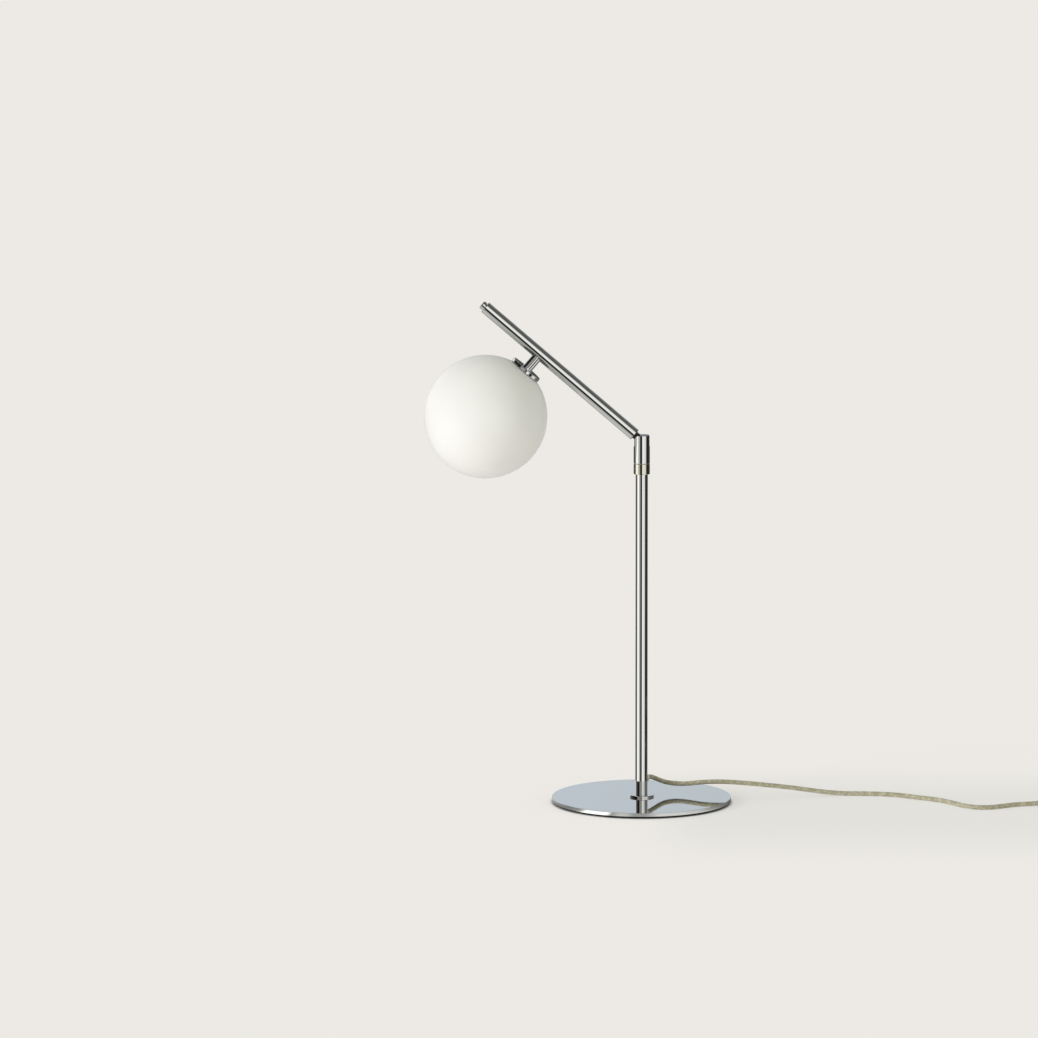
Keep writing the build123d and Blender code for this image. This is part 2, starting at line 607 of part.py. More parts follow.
# ---------------------------------------------------------------- cord
def cord_radii(points):
    """Arc radius at each corner of a route: 0.45 of the shorter run over tan(half turn)."""
    corners = [Vector(*point) for point in points]
    radii = []
    for before, corner, after in zip(corners, corners[1:], corners[2:]):
        run_in, run_out = corner - before, after - corner
        half_turn = math.radians(run_in.get_angle(run_out)) / 2
        radii.append(0.45 * min(run_in.length, run_out.length) / math.tan(half_turn))
    return radii


def cord_stretch(name, points):
    """A free stretch of cord: straight runs joined by tangent arcs."""
    radii = cord_radii(points)
    path = FilletPolyline(*points, radius=radii)
    start = Vector(*points[0])
    section = Plane(origin=start, z_dir=Vector(*points[1]) - start) * Circle(CORD_RADIUS)
    solid = sweep(section, path=path)
    expected = math.pi * CORD_RADIUS ** 2 * path.length
    print(name, "length", round(path.length, 1), "tightest bend, diameters",
          round(min(radii) / CORD_DIAMETER, 1), "volume over section times length",
          round(solid.volume / expected, 4))
    print("  radii", [round(radius) for radius in radii], "wanted", LEAST_BEND * CORD_DIAMETER)
    return solid


EXIT_POINT = (GROMMET_FACE * EXIT_COS, GROMMET_FACE * EXIT_SIN, CORD_EXIT_HEIGHT)
EXIT_STRAIGHT = (EXIT_POINT[0] + 7.8 * EXIT_COS, EXIT_POINT[1] + 7.8 * EXIT_SIN,
                 CORD_EXIT_HEIGHT)
CORD_RUN_ROUTE = [
    EXIT_POINT,
    EXIT_STRAIGHT,
    (15.0, 17.8, 20.9),
    (23.0, 20.4, 17.2),
    (33.0, 20.0, 14.2),
    (44.5, 17.3, 14.4),
    (59.0, 14.6, 16.6),
    (77.0, 13.2, 17.5),
    (100.0, 14.2, 15.9),
    (124.0, 18.2, 12.8),
    (149.0, 22.2, 9.4),
    (175.0, 26.0, 4.9),
    (197.0, 28.3, CORD_ON_TABLE),
    (222.0, 27.5, CORD_ON_TABLE),
    (249.0, 23.0, CORD_ON_TABLE),
    (273.0, 6.0, CORD_ON_TABLE),
    (291.5, -6.0, CORD_ON_TABLE),
    (303.5, -21.0, CORD_ON_TABLE),
    (311.5, -34.5, CORD_ON_TABLE),
    (323.0, -44.0, CORD_ON_TABLE),
    (337.0, -45.0, CORD_ON_TABLE),
    (350.0, -38.5, CORD_ON_TABLE),
    (363.0, -30.0, CORD_ON_TABLE),
    (379.0, -26.5, CORD_ON_TABLE),
    (396.0, -22.5, 2.8),
    (414.0, -18.0, CORD_HOLE_HEIGHT),
    (432.0, -18.0, CORD_HOLE_HEIGHT),
]
SWITCH_RIGHT = SWITCH_MIDDLE[0] + SWITCH_SIZE[0] / 2
LEAD_START = SWITCH_RIGHT - 8.0
COIL_STRAIGHT = CORD_DIAMETER
COIL_ENTRY = (COIL_MIDDLE[0] - COIL_STRAIGHT, COIL_MIDDLE[1] - COIL_RADIUS, CORD_ON_TABLE)
COIL_LEAVE = (COIL_MIDDLE[0] - COIL_STRAIGHT, COIL_MIDDLE[1] + COIL_RADIUS,
              CORD_ON_TABLE + COIL_PITCH)
CORD_LEAD_ROUTE = [
    (LEAD_START, -18.0, CORD_HOLE_HEIGHT),
    (492.0, -18.0, CORD_HOLE_HEIGHT),
    (506.0, -18.0, CORD_ON_TABLE),
    COIL_ENTRY,
]
CORD_TAIL_ROUTE = [
    COIL_LEAVE,
    (510.0, 54.0, COIL_LEAVE[2]),
    (499.0, 55.2, PLUG_AXIS[2]),
    PLUG_AXIS,
]


def coil_nodes():
    """Points of the coil at each half turn, with the direction that the cord runs there.

    The cord spirals in on the table, climbs a layer in the half turn where the spiral
    reverses, and spirals out again on top.
    """
    last = 2 * COIL_HALF_TURNS + 1
    nodes = []
    for count in range(last + 1):
        inward = min(count, last - count)
        radius = COIL_RADIUS - inward * COIL_PITCH / 2
        if inward == COIL_HALF_TURNS:
            radius -= COIL_REVERSAL_TUCK
        side = -1 if count % 2 == 0 else 1
        layer = 0 if count <= COIL_HALF_TURNS else 1
        point = Vector(COIL_MIDDLE[0], COIL_MIDDLE[1] + side * radius,
                       CORD_ON_TABLE + layer * COIL_PITCH)
        nodes.append((point, Vector(-side, 0, 0)))
    return nodes


def coil_path():
    """The coil's middle line: a straight start and end, and two arcs for each half turn."""
    nodes = coil_nodes()
    edges = [Edge.make_line(Vector(*COIL_ENTRY), nodes[0][0])]
    for (start, heading), (end, _) in zip(nodes, nodes[1:]):
        chord = end - start
        middle = (start + end) * 0.5 + heading * (chord.length / 2)
        first = Edge.make_tangent_arc(start, heading, middle)
        edges.append(first)
        edges.append(Edge.make_tangent_arc(middle, first.tangent_at(1), end))
    edges.append(Edge.make_line(nodes[-1][0], Vector(*COIL_LEAVE)))
    return Wire(edges)


def least_coil_gap(path, step=2.0):
    """Smallest gap between turns of the coil, measured between points on its middle line."""
    count = int(path.length / step)
    points = [path.position_at(index / count) for index in range(count + 1)]
    apart = int(4 * CORD_DIAMETER / step) + 1
    least = min((points[i] - points[j]).length
                for i in range(count + 1) for j in range(i + apart, count + 1))
    return least - CORD_DIAMETER


def cord_coil():
    """The rest of the cord, wound away in a neat coil of two layers."""
    path = coil_path()
    section = Plane(origin=COIL_ENTRY, z_dir=(1, 0, 0)) * Circle(CORD_RADIUS)
    solid = sweep(section, path=path)
    print("cord_coil length", round(path.length, 1), "least gap to itself",
          round(least_coil_gap(path), 2), "volume over section times length",
          round(solid.volume / (math.pi * CORD_RADIUS ** 2 * path.length), 4))
    return solid


# ---------------------------------------------------------------- in-line switch
def at_switch(shape):
    """Carry a shape drawn about the switch's own middle to its place on the table."""
    return Pos(SWITCH_MIDDLE[0], SWITCH_MIDDLE[1], 0) * shape


def switch_outline(inset):
    """Outline of the switch in plan, or of its cavity when set in by the wall."""
    return RectangleRounded(SWITCH_SIZE[0] - 2 * inset, SWITCH_SIZE[1] - 2 * inset,
                            SWITCH_CORNER - inset)


def cord_tunnel():
    """The hole that the cord passes through, along the whole switch."""
    half = SWITCH_SIZE[0] / 2 + 1
    return Pos(0, 0, CORD_HOLE_HEIGHT) * along_x(rod(CORD_RADIUS, -half, half))


def screw_places(shape):
    """The same shape at the switch's two screws, on opposite corners."""
    x, y = SWITCH_SCREW_AT
    return [Pos(x, y, 0) * shape, Pos(-x, -y, 0) * shape]


def switch_base():
    """Lower half of the switch: a tray with screw bosses and ribs under the cord."""
    body = extrude(switch_outline(0), CORD_HOLE_HEIGHT)
    body = chamfer(body.faces().sort_by(Axis.Z)[0].edges(), 0.8)
    body = body - Pos(0, 0, SWITCH_WALL) * extrude(switch_outline(SWITCH_WALL), CORD_HOLE_HEIGHT)
    for boss in screw_places(rod(3.0, SWITCH_WALL - 0.5, CORD_HOLE_HEIGHT)):
        body = body + boss
    for side in (-1, 1):
        rib = slab(4, 12, SWITCH_WALL - 0.5, CORD_HOLE_HEIGHT - 1)
        body = body + Pos(side * CLAMP_AT, 0, 0) * rib
    clear = rod(SWITCH_SCREW_RADIUS + 0.15, -1, CORD_HOLE_HEIGHT + 1) + rod(2.5, -1, 2.4)
    for hole in screw_places(clear):
        body = body - hole
    return at_switch(body - cord_tunnel())


def switch_cover():
    """Upper half of the switch: a domed shell with the rocker's window and bearings."""
    height = SWITCH_SIZE[2] - CORD_HOLE_HEIGHT
    body = Pos(0, 0, CORD_HOLE_HEIGHT) * extrude(switch_outline(0), height)
    body = fillet(body.faces().sort_by(Axis.Z)[-1].edges(), 3.0)
    cavity = extrude(switch_outline(SWITCH_WALL), height - SWITCH_WALL)
    body = body - Pos(0, 0, CORD_HOLE_HEIGHT) * cavity
    window = slab(WINDOW_SIZE[0], WINDOW_SIZE[1], CORD_HOLE_HEIGHT, SWITCH_SIZE[2] + 1)
    body = body - window
    top = SWITCH_SIZE[2] - SWITCH_WALL + 0.1
    for side in (-1, 1):
        lug = Pos(0, side * (WINDOW_SIZE[1] / 2 + 0.9), 0) * slab(6, 1.8, 9.5, top)
        body = body + lug
    pilot = rod(SWITCH_SCREW_RADIUS, CORD_HOLE_HEIGHT, top - 1.5)
    for boss in screw_places(rod(2.6, CORD_HOLE_HEIGHT, top) - pilot):
        body = body + boss
    bearing = Pos(0, 0, ROCKER_AXIS_HEIGHT) * along_y(rod(ROCKER_AXLE_RADIUS + 0.05, -7.6, 7.6))
    return at_switch(body - bearing - cord_tunnel())


def switch_rocker():
    """Rocker with two shallow wings, on stub axles; at rest its left wing is down."""
    half = ROCKER_HALF_LENGTH
    outline = Plane.XZ * Polyline(
        (-half, 3.9), (0, 2.9), (half, 3.9), (half - 0.5, 0.8), (2.6, -2.2), (-2.6, -2.2),
        (-half + 0.5, 0.8), (-half, 3.9))
    body = extrude(make_face(outline), ROCKER_WIDTH / 2, both=True)
    body = chamfer(body.edges().filter_by(Axis.Y).group_by(Axis.Z)[-1], 0.4)
    axle_end = ROCKER_WIDTH / 2 + 1.6
    axles = along_y(rod(ROCKER_AXLE_RADIUS, -axle_end, axle_end))
    tilted = Rot(0, -ROCKER_REST_TILT, 0) * (body + axles)
    return at_switch(Pos(0, 0, ROCKER_AXIS_HEIGHT) * tilted)


def switch_terminals():
    """Three brass blocks: two for the switched core and one that joins the other core."""
    block = slab(6, 4, 2.0, 6.2) - Pos(0, 0, 4.2) * along_x(rod(0.8, -4, 4))
    block = block - rod(0.9, 4.2, 7)
    places = [(-16.5, 5.5), (16.5, -5.5), (0, 7.0)]
    return at_switch(Compound(children=[Pos(x, y, 0) * block for x, y in places]))


def switch_contacts():
    """Two bent strips that the rocker brings together: one fixed, one sprung."""
    strips = []
    for side in (-1, 1):
        foot = Pos(side * 8.0, 0, 0) * slab(8.0, 4.0, SWITCH_WALL, SWITCH_WALL + 0.8)
        post = Pos(side * 4.4, 0, 0) * slab(0.8, 4.0, SWITCH_WALL, 7.6)
        tip = Pos(side * 3.3, 0, 0) * slab(3.0, 4.0, 7.2, 8.0)
        strips.append(foot + post + tip)
    return at_switch(Compound(children=strips))


def switch_clamps():
    """Two bars that press the cord's jacket onto the ribs of the base."""
    bars = []
    for side in (-1, 1):
        bar = slab(3.4, 11, CORD_HOLE_HEIGHT + 0.6, CORD_HOLE_HEIGHT + 4.2)
        bars.append(Pos(side * CLAMP_AT, 0, 0) * (bar - cord_tunnel()))
    return at_switch(Compound(children=bars))


def switch_screws():
    """Two screws from below that hold the halves of the switch together."""
    shank = rod(SWITCH_SCREW_RADIUS, 2.3, SWITCH_SIZE[2] - SWITCH_WALL - 2.0)
    head = rod(2.3, 0.6, 2.4) - Pos(0, 0, 0.5) * slab(0.7, 5, 0, 0.8)
    return at_switch(Compound(children=screw_places(shank + head)))


# ---------------------------------------------------------------- plug
def at_plug(shape):
    """Carry a shape drawn along +Z, from the cord's entry to the pins, to its place.

    In that frame X is across the plug and Y is its thickness.
    """
    frame = Plane(origin=PLUG_AXIS, x_dir=(0, 1, 0), z_dir=(-1, 0, 0))
    return frame.location * shape


def plug_face():
    """Outline of the plug where it meets the socket: a long hexagon."""
    wide, flat, half = PLUG_WIDTH / 2, PLUG_FLAT / 2, PLUG_HEIGHT / 2
    return [(-wide, 0), (-flat, -half), (flat, -half), (wide, 0), (flat, half), (-flat, half)]


def pin_places(shape):
    """Two leaning copies of a shape drawn from the plug's face along +Z."""
    face = PLUG_RELIEF + PLUG_BODY
    return [Pos(side * PLUG_PIN_SPACING / 2, 0, face) * Rot(0, -side * PLUG_PIN_LEAN, 0) * shape
            for side in (-1, 1)]


def plug_body():
    """Moulded plug: a hexagon that narrows to a round back, and a ribbed strain relief."""
    points = plug_face()
    face = PLUG_RELIEF + PLUG_BODY
    front = Pos(0, 0, face) * make_face(Polyline(*points, points[0]))
    grip = Pos(0, 0, face - PLUG_GRIP) * make_face(Polyline(*points, points[0]))
    shrunk = [(x * 0.46, y * 0.8) for x, y in points]
    back = Pos(0, 0, PLUG_RELIEF) * make_face(Polyline(*shrunk, shrunk[0]))
    body = loft([back, grip], ruled=True) + loft([grip, front], ruled=True)
    relief = Cone(CORD_RADIUS + 1.0, 4.9, PLUG_RELIEF + 0.5,
                  align=(Align.CENTER, Align.CENTER, Align.MIN))
    for rib in range(5):
        relief = relief - tube(7, 3.0 + 0.25 * rib, 4.0 + 4.0 * rib, 5.6 + 4.0 * rib)
    body = body + relief
    for hole in pin_places(rod(PLUG_SHANK_RADIUS, -PLUG_SHANK_DEPTH, 1)):
        body = body - hole
    return at_plug(body)


def plug_pins():
    """Two nickel-plated pins: thin shanks in the moulding and thick round tips."""
    shank = rod(PLUG_SHANK_RADIUS, -PLUG_SHANK_DEPTH, PLUG_SLEEVE_LENGTH)
    tip = rod(PLUG_PIN_RADIUS, PLUG_SLEEVE_LENGTH, PLUG_PIN_LENGTH)
    tip = fillet(rim_edges(tip, PLUG_PIN_RADIUS, PLUG_PIN_LENGTH), 1.4)
    return at_plug(Compound(children=pin_places(shank + tip)))


def plug_pin_sleeves():
    """Insulating sleeves on the half of each pin that is nearer the plug."""
    sleeve = tube(PLUG_PIN_RADIUS - 0.1, PLUG_SHANK_RADIUS, 0.3, PLUG_SLEEVE_LENGTH)
    return at_plug(Compound(children=pin_places(sleeve)))


# ---------------------------------------------------------------- the whole lamp
PIECES = {
    "base_pad": base_pad,
    "base_plate": base_plate,
    "base_screw": base_screw,
    "stem_foot": stem_foot,
    "stem_tube": stem_tube,
    "cord_grommet": cord_grommet,
    "cord_inlet": cord_inlet,
    "cord_stop": cord_stop,
    "stem_wires": stem_wires,
    "swivel_spigot": swivel_spigot,
    "swivel_ring": swivel_ring,
    "ring_screw": ring_screw,
    "swivel_washer": swivel_washer,
    "head_sleeve": head_sleeve,
    "swivel_set_screw": swivel_set_screw,
    "pivot_pin": pivot_pin,
    "pivot_screw": pivot_screw,
    "friction_washers": friction_washers,
    "arm_knuckle": arm_knuckle,
    "arm_tube": arm_tube,
    "arm_end_cap": arm_end_cap,
    "arm_wires": arm_wires,
    "neck_tube": neck_tube,
    "neck_nipple": neck_nipple,
    "globe_cap": globe_cap,
    "globe_gasket": globe_gasket,
    "glass_globe": glass_globe,
    "holder_bracket": holder_bracket,
    "neck_nut": neck_nut,
    "lamp_holder": lamp_holder,
    "holder_contacts": holder_contacts,
    "holder_screws": holder_screws,
    "lamp_base": lamp_base,
    "lamp_pins": lamp_pins,
    "lamp_dome": lamp_dome,
    "cord_run": lambda: cord_stretch("cord_run", CORD_RUN_ROUTE),
    "cord_lead": lambda: cord_stretch("cord_lead", CORD_LEAD_ROUTE),
    "cord_coil": cord_coil,
    "cord_tail": lambda: cord_stretch("cord_tail", CORD_TAIL_ROUTE),
    "switch_base": switch_base,
    "switch_cover": switch_cover,
    "switch_rocker": switch_rocker,
    "switch_terminals": switch_terminals,
    "switch_contacts": switch_contacts,
    "switch_clamps": switch_clamps,
    "switch_screws": switch_screws,
    "plug_body": plug_body,
    "plug_pins": plug_pins,
    "plug_pin_sleeves": plug_pin_sleeves,
}


def main():
    """Build every piece and write it to its own file."""
    os.makedirs("parts", exist_ok=True)
    for name, build in PIECES.items():
        export_step(build(), f"parts/{name}.step")


main()
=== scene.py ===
"""Looks of the glass globe table lamp: fine surfaces, finishes, camera and studio.

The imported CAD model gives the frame: every piece sits where its CAD node sits and rides on
the same body.  Shapes are drawn in millimetres, with the sizes of the CAD model, and become
metres when their mesh is made.  +Z is up, the origin is on the table under the middle of the
base, the arm leans towards -X and the cord runs towards +X.
"""

import logging
import math
from dataclasses import dataclass
from enum import Enum
from functools import cache

import bmesh
import bpy
import numpy as np
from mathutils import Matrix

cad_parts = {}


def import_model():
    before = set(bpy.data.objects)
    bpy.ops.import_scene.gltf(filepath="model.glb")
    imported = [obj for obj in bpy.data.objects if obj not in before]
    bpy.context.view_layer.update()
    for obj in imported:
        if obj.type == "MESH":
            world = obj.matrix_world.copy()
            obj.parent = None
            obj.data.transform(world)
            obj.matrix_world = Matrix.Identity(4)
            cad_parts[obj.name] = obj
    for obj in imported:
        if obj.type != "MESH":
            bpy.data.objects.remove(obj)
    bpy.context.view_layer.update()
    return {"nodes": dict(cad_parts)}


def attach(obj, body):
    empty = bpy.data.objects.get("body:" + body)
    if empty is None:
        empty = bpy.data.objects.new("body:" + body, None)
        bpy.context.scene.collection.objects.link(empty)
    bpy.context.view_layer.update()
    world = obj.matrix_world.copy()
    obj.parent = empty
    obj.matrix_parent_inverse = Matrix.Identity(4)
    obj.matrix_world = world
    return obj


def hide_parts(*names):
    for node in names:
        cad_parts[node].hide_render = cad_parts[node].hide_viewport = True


log = logging.getLogger("globe_lamp")

MM = 0.001
CHART = "chart"
# in metres: points this near are one point, and shorter edges are dropped
SAME_POINT, NO_EDGE = 1e-7, 1e-8
# faces that meet at less than this angle are shaded as one
SMOOTH_ANGLE = math.radians(32)
Color = tuple[float, float, float]
Point = tuple[float, float, float]
Stops = tuple[tuple[float, float | Color], ...]
Node = bpy.types.Node
Socket = bpy.types.NodeSocket
Tree = bpy.types.NodeTree


class Body(Enum):
    """The parts of the lamp that move on their own."""

    STAND = "stand"
    HEAD = "head"
    ARM = "arm"
    ROCKER = "rocker"


# ---------------------------------------------------------------- surfaces
@dataclass(frozen=True)
class Axes:
    """A right-handed set of axes that a shape is drawn in."""

    origin: Point = (0.0, 0.0, 0.0)
    x_axis: Point = (1.0, 0.0, 0.0)
    z_axis: Point = (0.0, 0.0, 1.0)

    def carry(self, points: np.ndarray) -> np.ndarray:
        """Points of these axes as points of the lamp: origin + x X + y Y + z Z.

        Args:
            points: any array whose last axis holds x, y and z.

        Returns:
            An array of the same shape.
        """
        x_axis = np.array(self.x_axis) / np.linalg.norm(self.x_axis)
        z_axis = np.array(self.z_axis) / np.linalg.norm(self.z_axis)
        turned = points @ np.array([x_axis, np.cross(z_axis, x_axis), z_axis])
        return turned + np.array(self.origin)


@dataclass(frozen=True)
class Surface:
    """A mesh as arrays: points, faces of four corners, and map coordinates per corner."""

    points: np.ndarray
    faces: np.ndarray
    chart: np.ndarray

    def __add__(self, other: "Surface") -> "Surface":
        """Both meshes in one."""
        return Surface(np.vstack((self.points, other.points)),
                       np.vstack((self.faces, other.faces + len(self.points))),
                       np.vstack((self.chart, other.chart)))

    def on(self, axes: Axes) -> "Surface":
        """The same mesh, carried from the given axes to the lamp."""
        return Surface(axes.carry(self.points), self.faces, self.chart)


def skin(rings: np.ndarray, looped: bool = False, span: float = 1.0) -> Surface:
    """Join a grid of points into faces: point (i, j) meets (i + 1, j) and (i, j + 1).

    Args:
        rings: points shaped (rings, columns, 3); each ring closes on itself.
        looped: also joins the last ring to the first.
        span: the chart's first coordinate runs from 0 to this over the rings.

    Returns:
        The mesh, with the chart's second coordinate from 0 to 1 round each ring.
    """
    count, columns = rings.shape[:2]
    steps = count if looped else count - 1
    i, j = np.meshgrid(np.arange(steps), np.arange(columns), indexing="ij")
    ring = np.stack((i, i, i + 1, i + 1), -1)
    column = np.stack((j, j + 1, j + 1, j), -1)
    faces = (ring % count) * columns + column % columns
    chart = np.stack((ring * span / steps, column / columns), -1)
    return Surface(rings.reshape(-1, 3), faces.reshape(-1, 4), chart.reshape(-1, 4, 2))


def eased(corners: np.ndarray | list, radii: float | list, closed: bool = False,
          steps: int = 5) -> np.ndarray:
    """Round the corners of an outline and keep its sides flat in shading.

    At a corner B with half angle h, the arc of radius r touches the sides at P and Q, both
    r / tan h away.  Its points, for s from 0 to 1, are the weighted mean of P, B and Q with
    the weights (1 - s)^2, 2 s (1 - s) sin h and s^2, which lie exactly on the circle.  One
    more point half a radius beyond P and Q holds each side.

    Args:
        corners: the outline's corners, two or three numbers each.
        radii: one radius, or one for each corner.
        closed: the outline's end meets its start; otherwise both stay sharp.
        steps: points on each arc.

    Returns:
        The points of the eased outline, one row each.
    """
    corners = np.asarray(corners, float)
    radii = np.broadcast_to(np.asarray(radii, float), len(corners)).copy()
    if not closed:
        radii[[0, -1]] = 0.0
    back, ahead = np.roll(corners, 1, 0) - corners, np.roll(corners, -1, 0) - corners
    back /= np.linalg.norm(back, axis=1, keepdims=True)
    ahead /= np.linalg.norm(ahead, axis=1, keepdims=True)
    half = np.arccos(np.clip((back * ahead).sum(1), -1, 1)) / 2
    reach = (radii / np.maximum(np.tan(half), 1e-9))[:, None]
    hold = reach + 0.5 * radii[:, None]
    s = np.linspace(0, 1, steps)[:, None, None]
    first, middle, last = (1 - s) ** 2, 2 * s * (1 - s) * np.sin(half)[:, None], s ** 2
    arc = first * (corners + back * reach) + middle * corners + last * (corners + ahead * reach)
    rows = np.concatenate(((corners + back * hold)[None], arc / (first + middle + last),
                           (corners + ahead * hold)[None]))
    return rows.swapaxes(0, 1).reshape(-1, corners.shape[1])


def lathe(profile: np.ndarray, columns: int, looped: bool = False) -> Surface:
    """Turn a profile about Z: a point (r, z) at the angle t is (r cos t, r sin t, z).

    Args:
        profile: rows of radius and height.
        columns: points round the axis.
        looped: the profile closes on itself, as a tube's does.

    Returns:
        The turned mesh.
    """
    turn = np.linspace(0, 2 * np.pi, columns, endpoint=False)
    radius = profile[:, :1]
    height = np.broadcast_to(profile[:, 1:], (len(profile), columns))
    return skin(np.stack((radius * np.cos(turn), radius * np.sin(turn), height), -1), looped)


def turned(corners: list, radii: float | list, columns: int, ring: bool = False,
           steps: int = 5) -> Surface:
    """Turn an outline with eased corners about Z; a ring's outline closes on itself."""
    return lathe(eased(corners, radii, ring, steps), columns, looped=ring)


def stack(rows: list[tuple[np.ndarray, float]]) -> np.ndarray:
    """Lay flat outlines of equal count at their heights, as rings (x, y, z)."""
    return np.stack([np.column_stack((outline, np.full(len(outline), height)))
                     for outline, height in rows])


def roll(edge: float, count: int) -> list[tuple[float, float]]:
    """A rounded edge of radius e: inset e (1 - sin a) and depth e (1 - cos a) at the angle a."""
    turn = np.linspace(0, np.pi / 2, count)
    return list(zip(edge * (1 - np.sin(turn)), edge * (1 - np.cos(turn))))


def leaning(origin: Point, degrees: float) -> Axes:
    """Axes at a point, turned about Y so that Z leans towards X."""
    cos, sin = math.cos(math.radians(degrees)), math.sin(math.radians(degrees))
    return Axes(origin, (cos, 0.0, -sin), (sin, 0.0, cos))


def box_outline(length: float, width: float, corner: float) -> np.ndarray:
    """A rectangle with round corners, centred on the origin, as rows of x and y."""
    x, y = length / 2, width / 2
    return eased([(x, -y), (x, y), (-x, y), (-x, -y)], corner, closed=True, steps=13)


def tube_along(path: np.ndarray, radius: float, columns: int = 20) -> Surface:
    """A round tube along a line: p(u) + r cos t N(u) + r sin t B(u).

    N points sideways, level with the table, and B is square to N and to the line, which
    never runs upright.  The ends close on the line.

    Args:
        path: points of the line.
        radius: the tube's radius.
        columns: points round the tube.

    Returns:
        The tube, its chart counting tube circumferences along the line.
    """
    ahead = np.gradient(path, axis=0)
    ahead /= np.linalg.norm(ahead, axis=1, keepdims=True)
    side = np.cross(ahead, (0.0, 0.0, 1.0))
    side /= np.linalg.norm(side, axis=1, keepdims=True)
    above = np.cross(side, ahead)
    turn = np.linspace(0, 2 * np.pi, columns, endpoint=False)[:, None]
    path = path[np.r_[0, 0:len(path), -1]]
    side, above = (axis[np.r_[0, 0:len(axis), -1]] for axis in (side, above))
    radii = np.r_[0.0, np.full(len(path) - 2, radius), 0.0][:, None, None]
    rings = path[:, None] + radii * (np.cos(turn) * side[:, None] + np.sin(turn) * above[:, None])
    length = np.linalg.norm(np.diff(path, axis=0), axis=1).sum()
    return skin(rings, span=length / (2 * np.pi * radius))


# ---------------------------------------------------------------- shader building
class Graph:
    """Shorthand for adding and linking the nodes of one tree."""

    def __init__(self, tree: Tree) -> None:
        """Keep the tree that the nodes go into."""
        self.tree = tree

    def put(self, node: Node, inputs: dict[str | int, object]) -> Node:
        """Set a node's inputs.

        Args:
            node: the node.
            inputs: values, sockets or nodes, by the name or number of the input; colours have
                three parts, and a node stands for its first output.

        Returns:
            The same node.
        """
        for name, value in inputs.items():
            socket = node.inputs[name]
            if isinstance(value, Node):
                value = value.outputs[0]
            if isinstance(value, Socket):
                self.tree.links.new(value, socket)
            else:
                socket.default_value = (*value, 1.0) if socket.type == "RGBA" else value
        return node

    def add(self, kind: str, inputs: dict | None = None, **settings: object) -> Node:
        """Add a node.

        Args:
            kind: the node's type, without the ShaderNode in front.
            inputs: as for put.
            settings: the node's own properties.

        Returns:
            The new node.
        """
        node = self.tree.nodes.new("ShaderNode" + kind)
        for name, value in settings.items():
            setattr(node, name, value)
        return self.put(node, inputs or {})

    def place(self, tree: Tree, **inputs: object) -> list[Socket]:
        """Add a node group with its inputs set by name; returns its outputs."""
        named = {name.capitalize(): value for name, value in inputs.items()}
        return list(self.add("Group", named, node_tree=tree).outputs)

    def math(self, operation: str, *values: object, clamp: bool = False) -> Socket:
        """One step of arithmetic on numbers or sockets."""
        return self.add("Math", dict(enumerate(values)), operation=operation,
                        use_clamp=clamp).outputs[0]

    def times(self, first: object, second: object) -> Socket:
        """The product of two numbers or sockets."""
        return self.math("MULTIPLY", first, second)

    def line(self, value: object, slope: object, start: object) -> Socket:
        """The value times the slope, plus the start."""
        return self.math("MULTIPLY_ADD", value, slope, start)

    def scaled(self, vector: object, by: object) -> Socket:
        """A vector or colour times a number."""
        return self.add("VectorMath", {0: vector, 3: by}, operation="SCALE").outputs[0]

    def choose(self, factor: object, first: object, second: object) -> Socket:
        """A blend of two numbers."""
        return self.add("Mix", {0: factor, 2: first, 3: second}, data_type="FLOAT").outputs[0]

    def mix(self, factor: object, first: object, second: object) -> Socket:
        """A blend of two colours."""
        return self.add("Mix", {0: factor, 6: first, 7: second}, data_type="RGBA").outputs[2]

    def ease(self, value: object, low: float, high: float) -> Socket:
        """A smooth step of a value from 0 at low to 1 at high."""
        return self.add("MapRange", {0: value, 1: low, 2: high},
                        interpolation_type="SMOOTHSTEP").outputs[0]

    def noise(self, spot: object, scale: object, detail: float, rough: float = 0.5) -> Socket:
        """Fractal noise, as a number."""
        return self.add("TexNoise", {"Vector": spot, "Scale": scale, "Detail": detail,
                                     "Roughness": rough}).outputs[0]

    def bump(self, height: Socket, depth: float) -> Socket:
        """The normal of a height in units of depth metres."""
        return self.add("Bump", {"Height": height, "Distance": depth,
                                 "Strength": 0.6}).outputs[0]

    def azimuth(self, x: Socket, y: Socket) -> Socket:
        """The direction of (x, y), atan2(x, -y), as 0 to 1 for -180 to 180 degrees."""
        return self.line(self.math("ARCTAN2", x, self.times(y, -1.0)), 1 / (2 * math.pi), 0.5)

    def close(self, kind: str = "Float", **outputs: Socket) -> Tree:
        """Give a node group its outputs, all of one kind; returns the group."""
        for name in outputs:
            self.tree.interface.new_socket(name, in_out="OUTPUT", socket_type="NodeSocket" + kind)
        self.put(self.tree.nodes.new("NodeGroupOutput"), outputs)
        return self.tree


def new_group(name: str, **inputs: float | Color | None) -> tuple[Graph, list[Socket]]:
    """Start a node group.

    Args:
        name: the group's name.
        inputs: the default of each input; a number makes a float, a tuple a colour and None
            a vector.

    Returns:
        The group's graph and its inputs' sockets.
    """
    tree = bpy.data.node_groups.new(name, "ShaderNodeTree")
    for key, value in inputs.items():
        kind = "Vector" if value is None else "Color" if isinstance(value, tuple) else "Float"
        made = tree.interface.new_socket(key, in_out="INPUT", socket_type="NodeSocket" + kind)
        if value is not None:
            made.default_value = (*value, 1.0) if kind == "Color" else value
    return Graph(tree), list(tree.nodes.new("NodeGroupInput").outputs)[:len(inputs)]


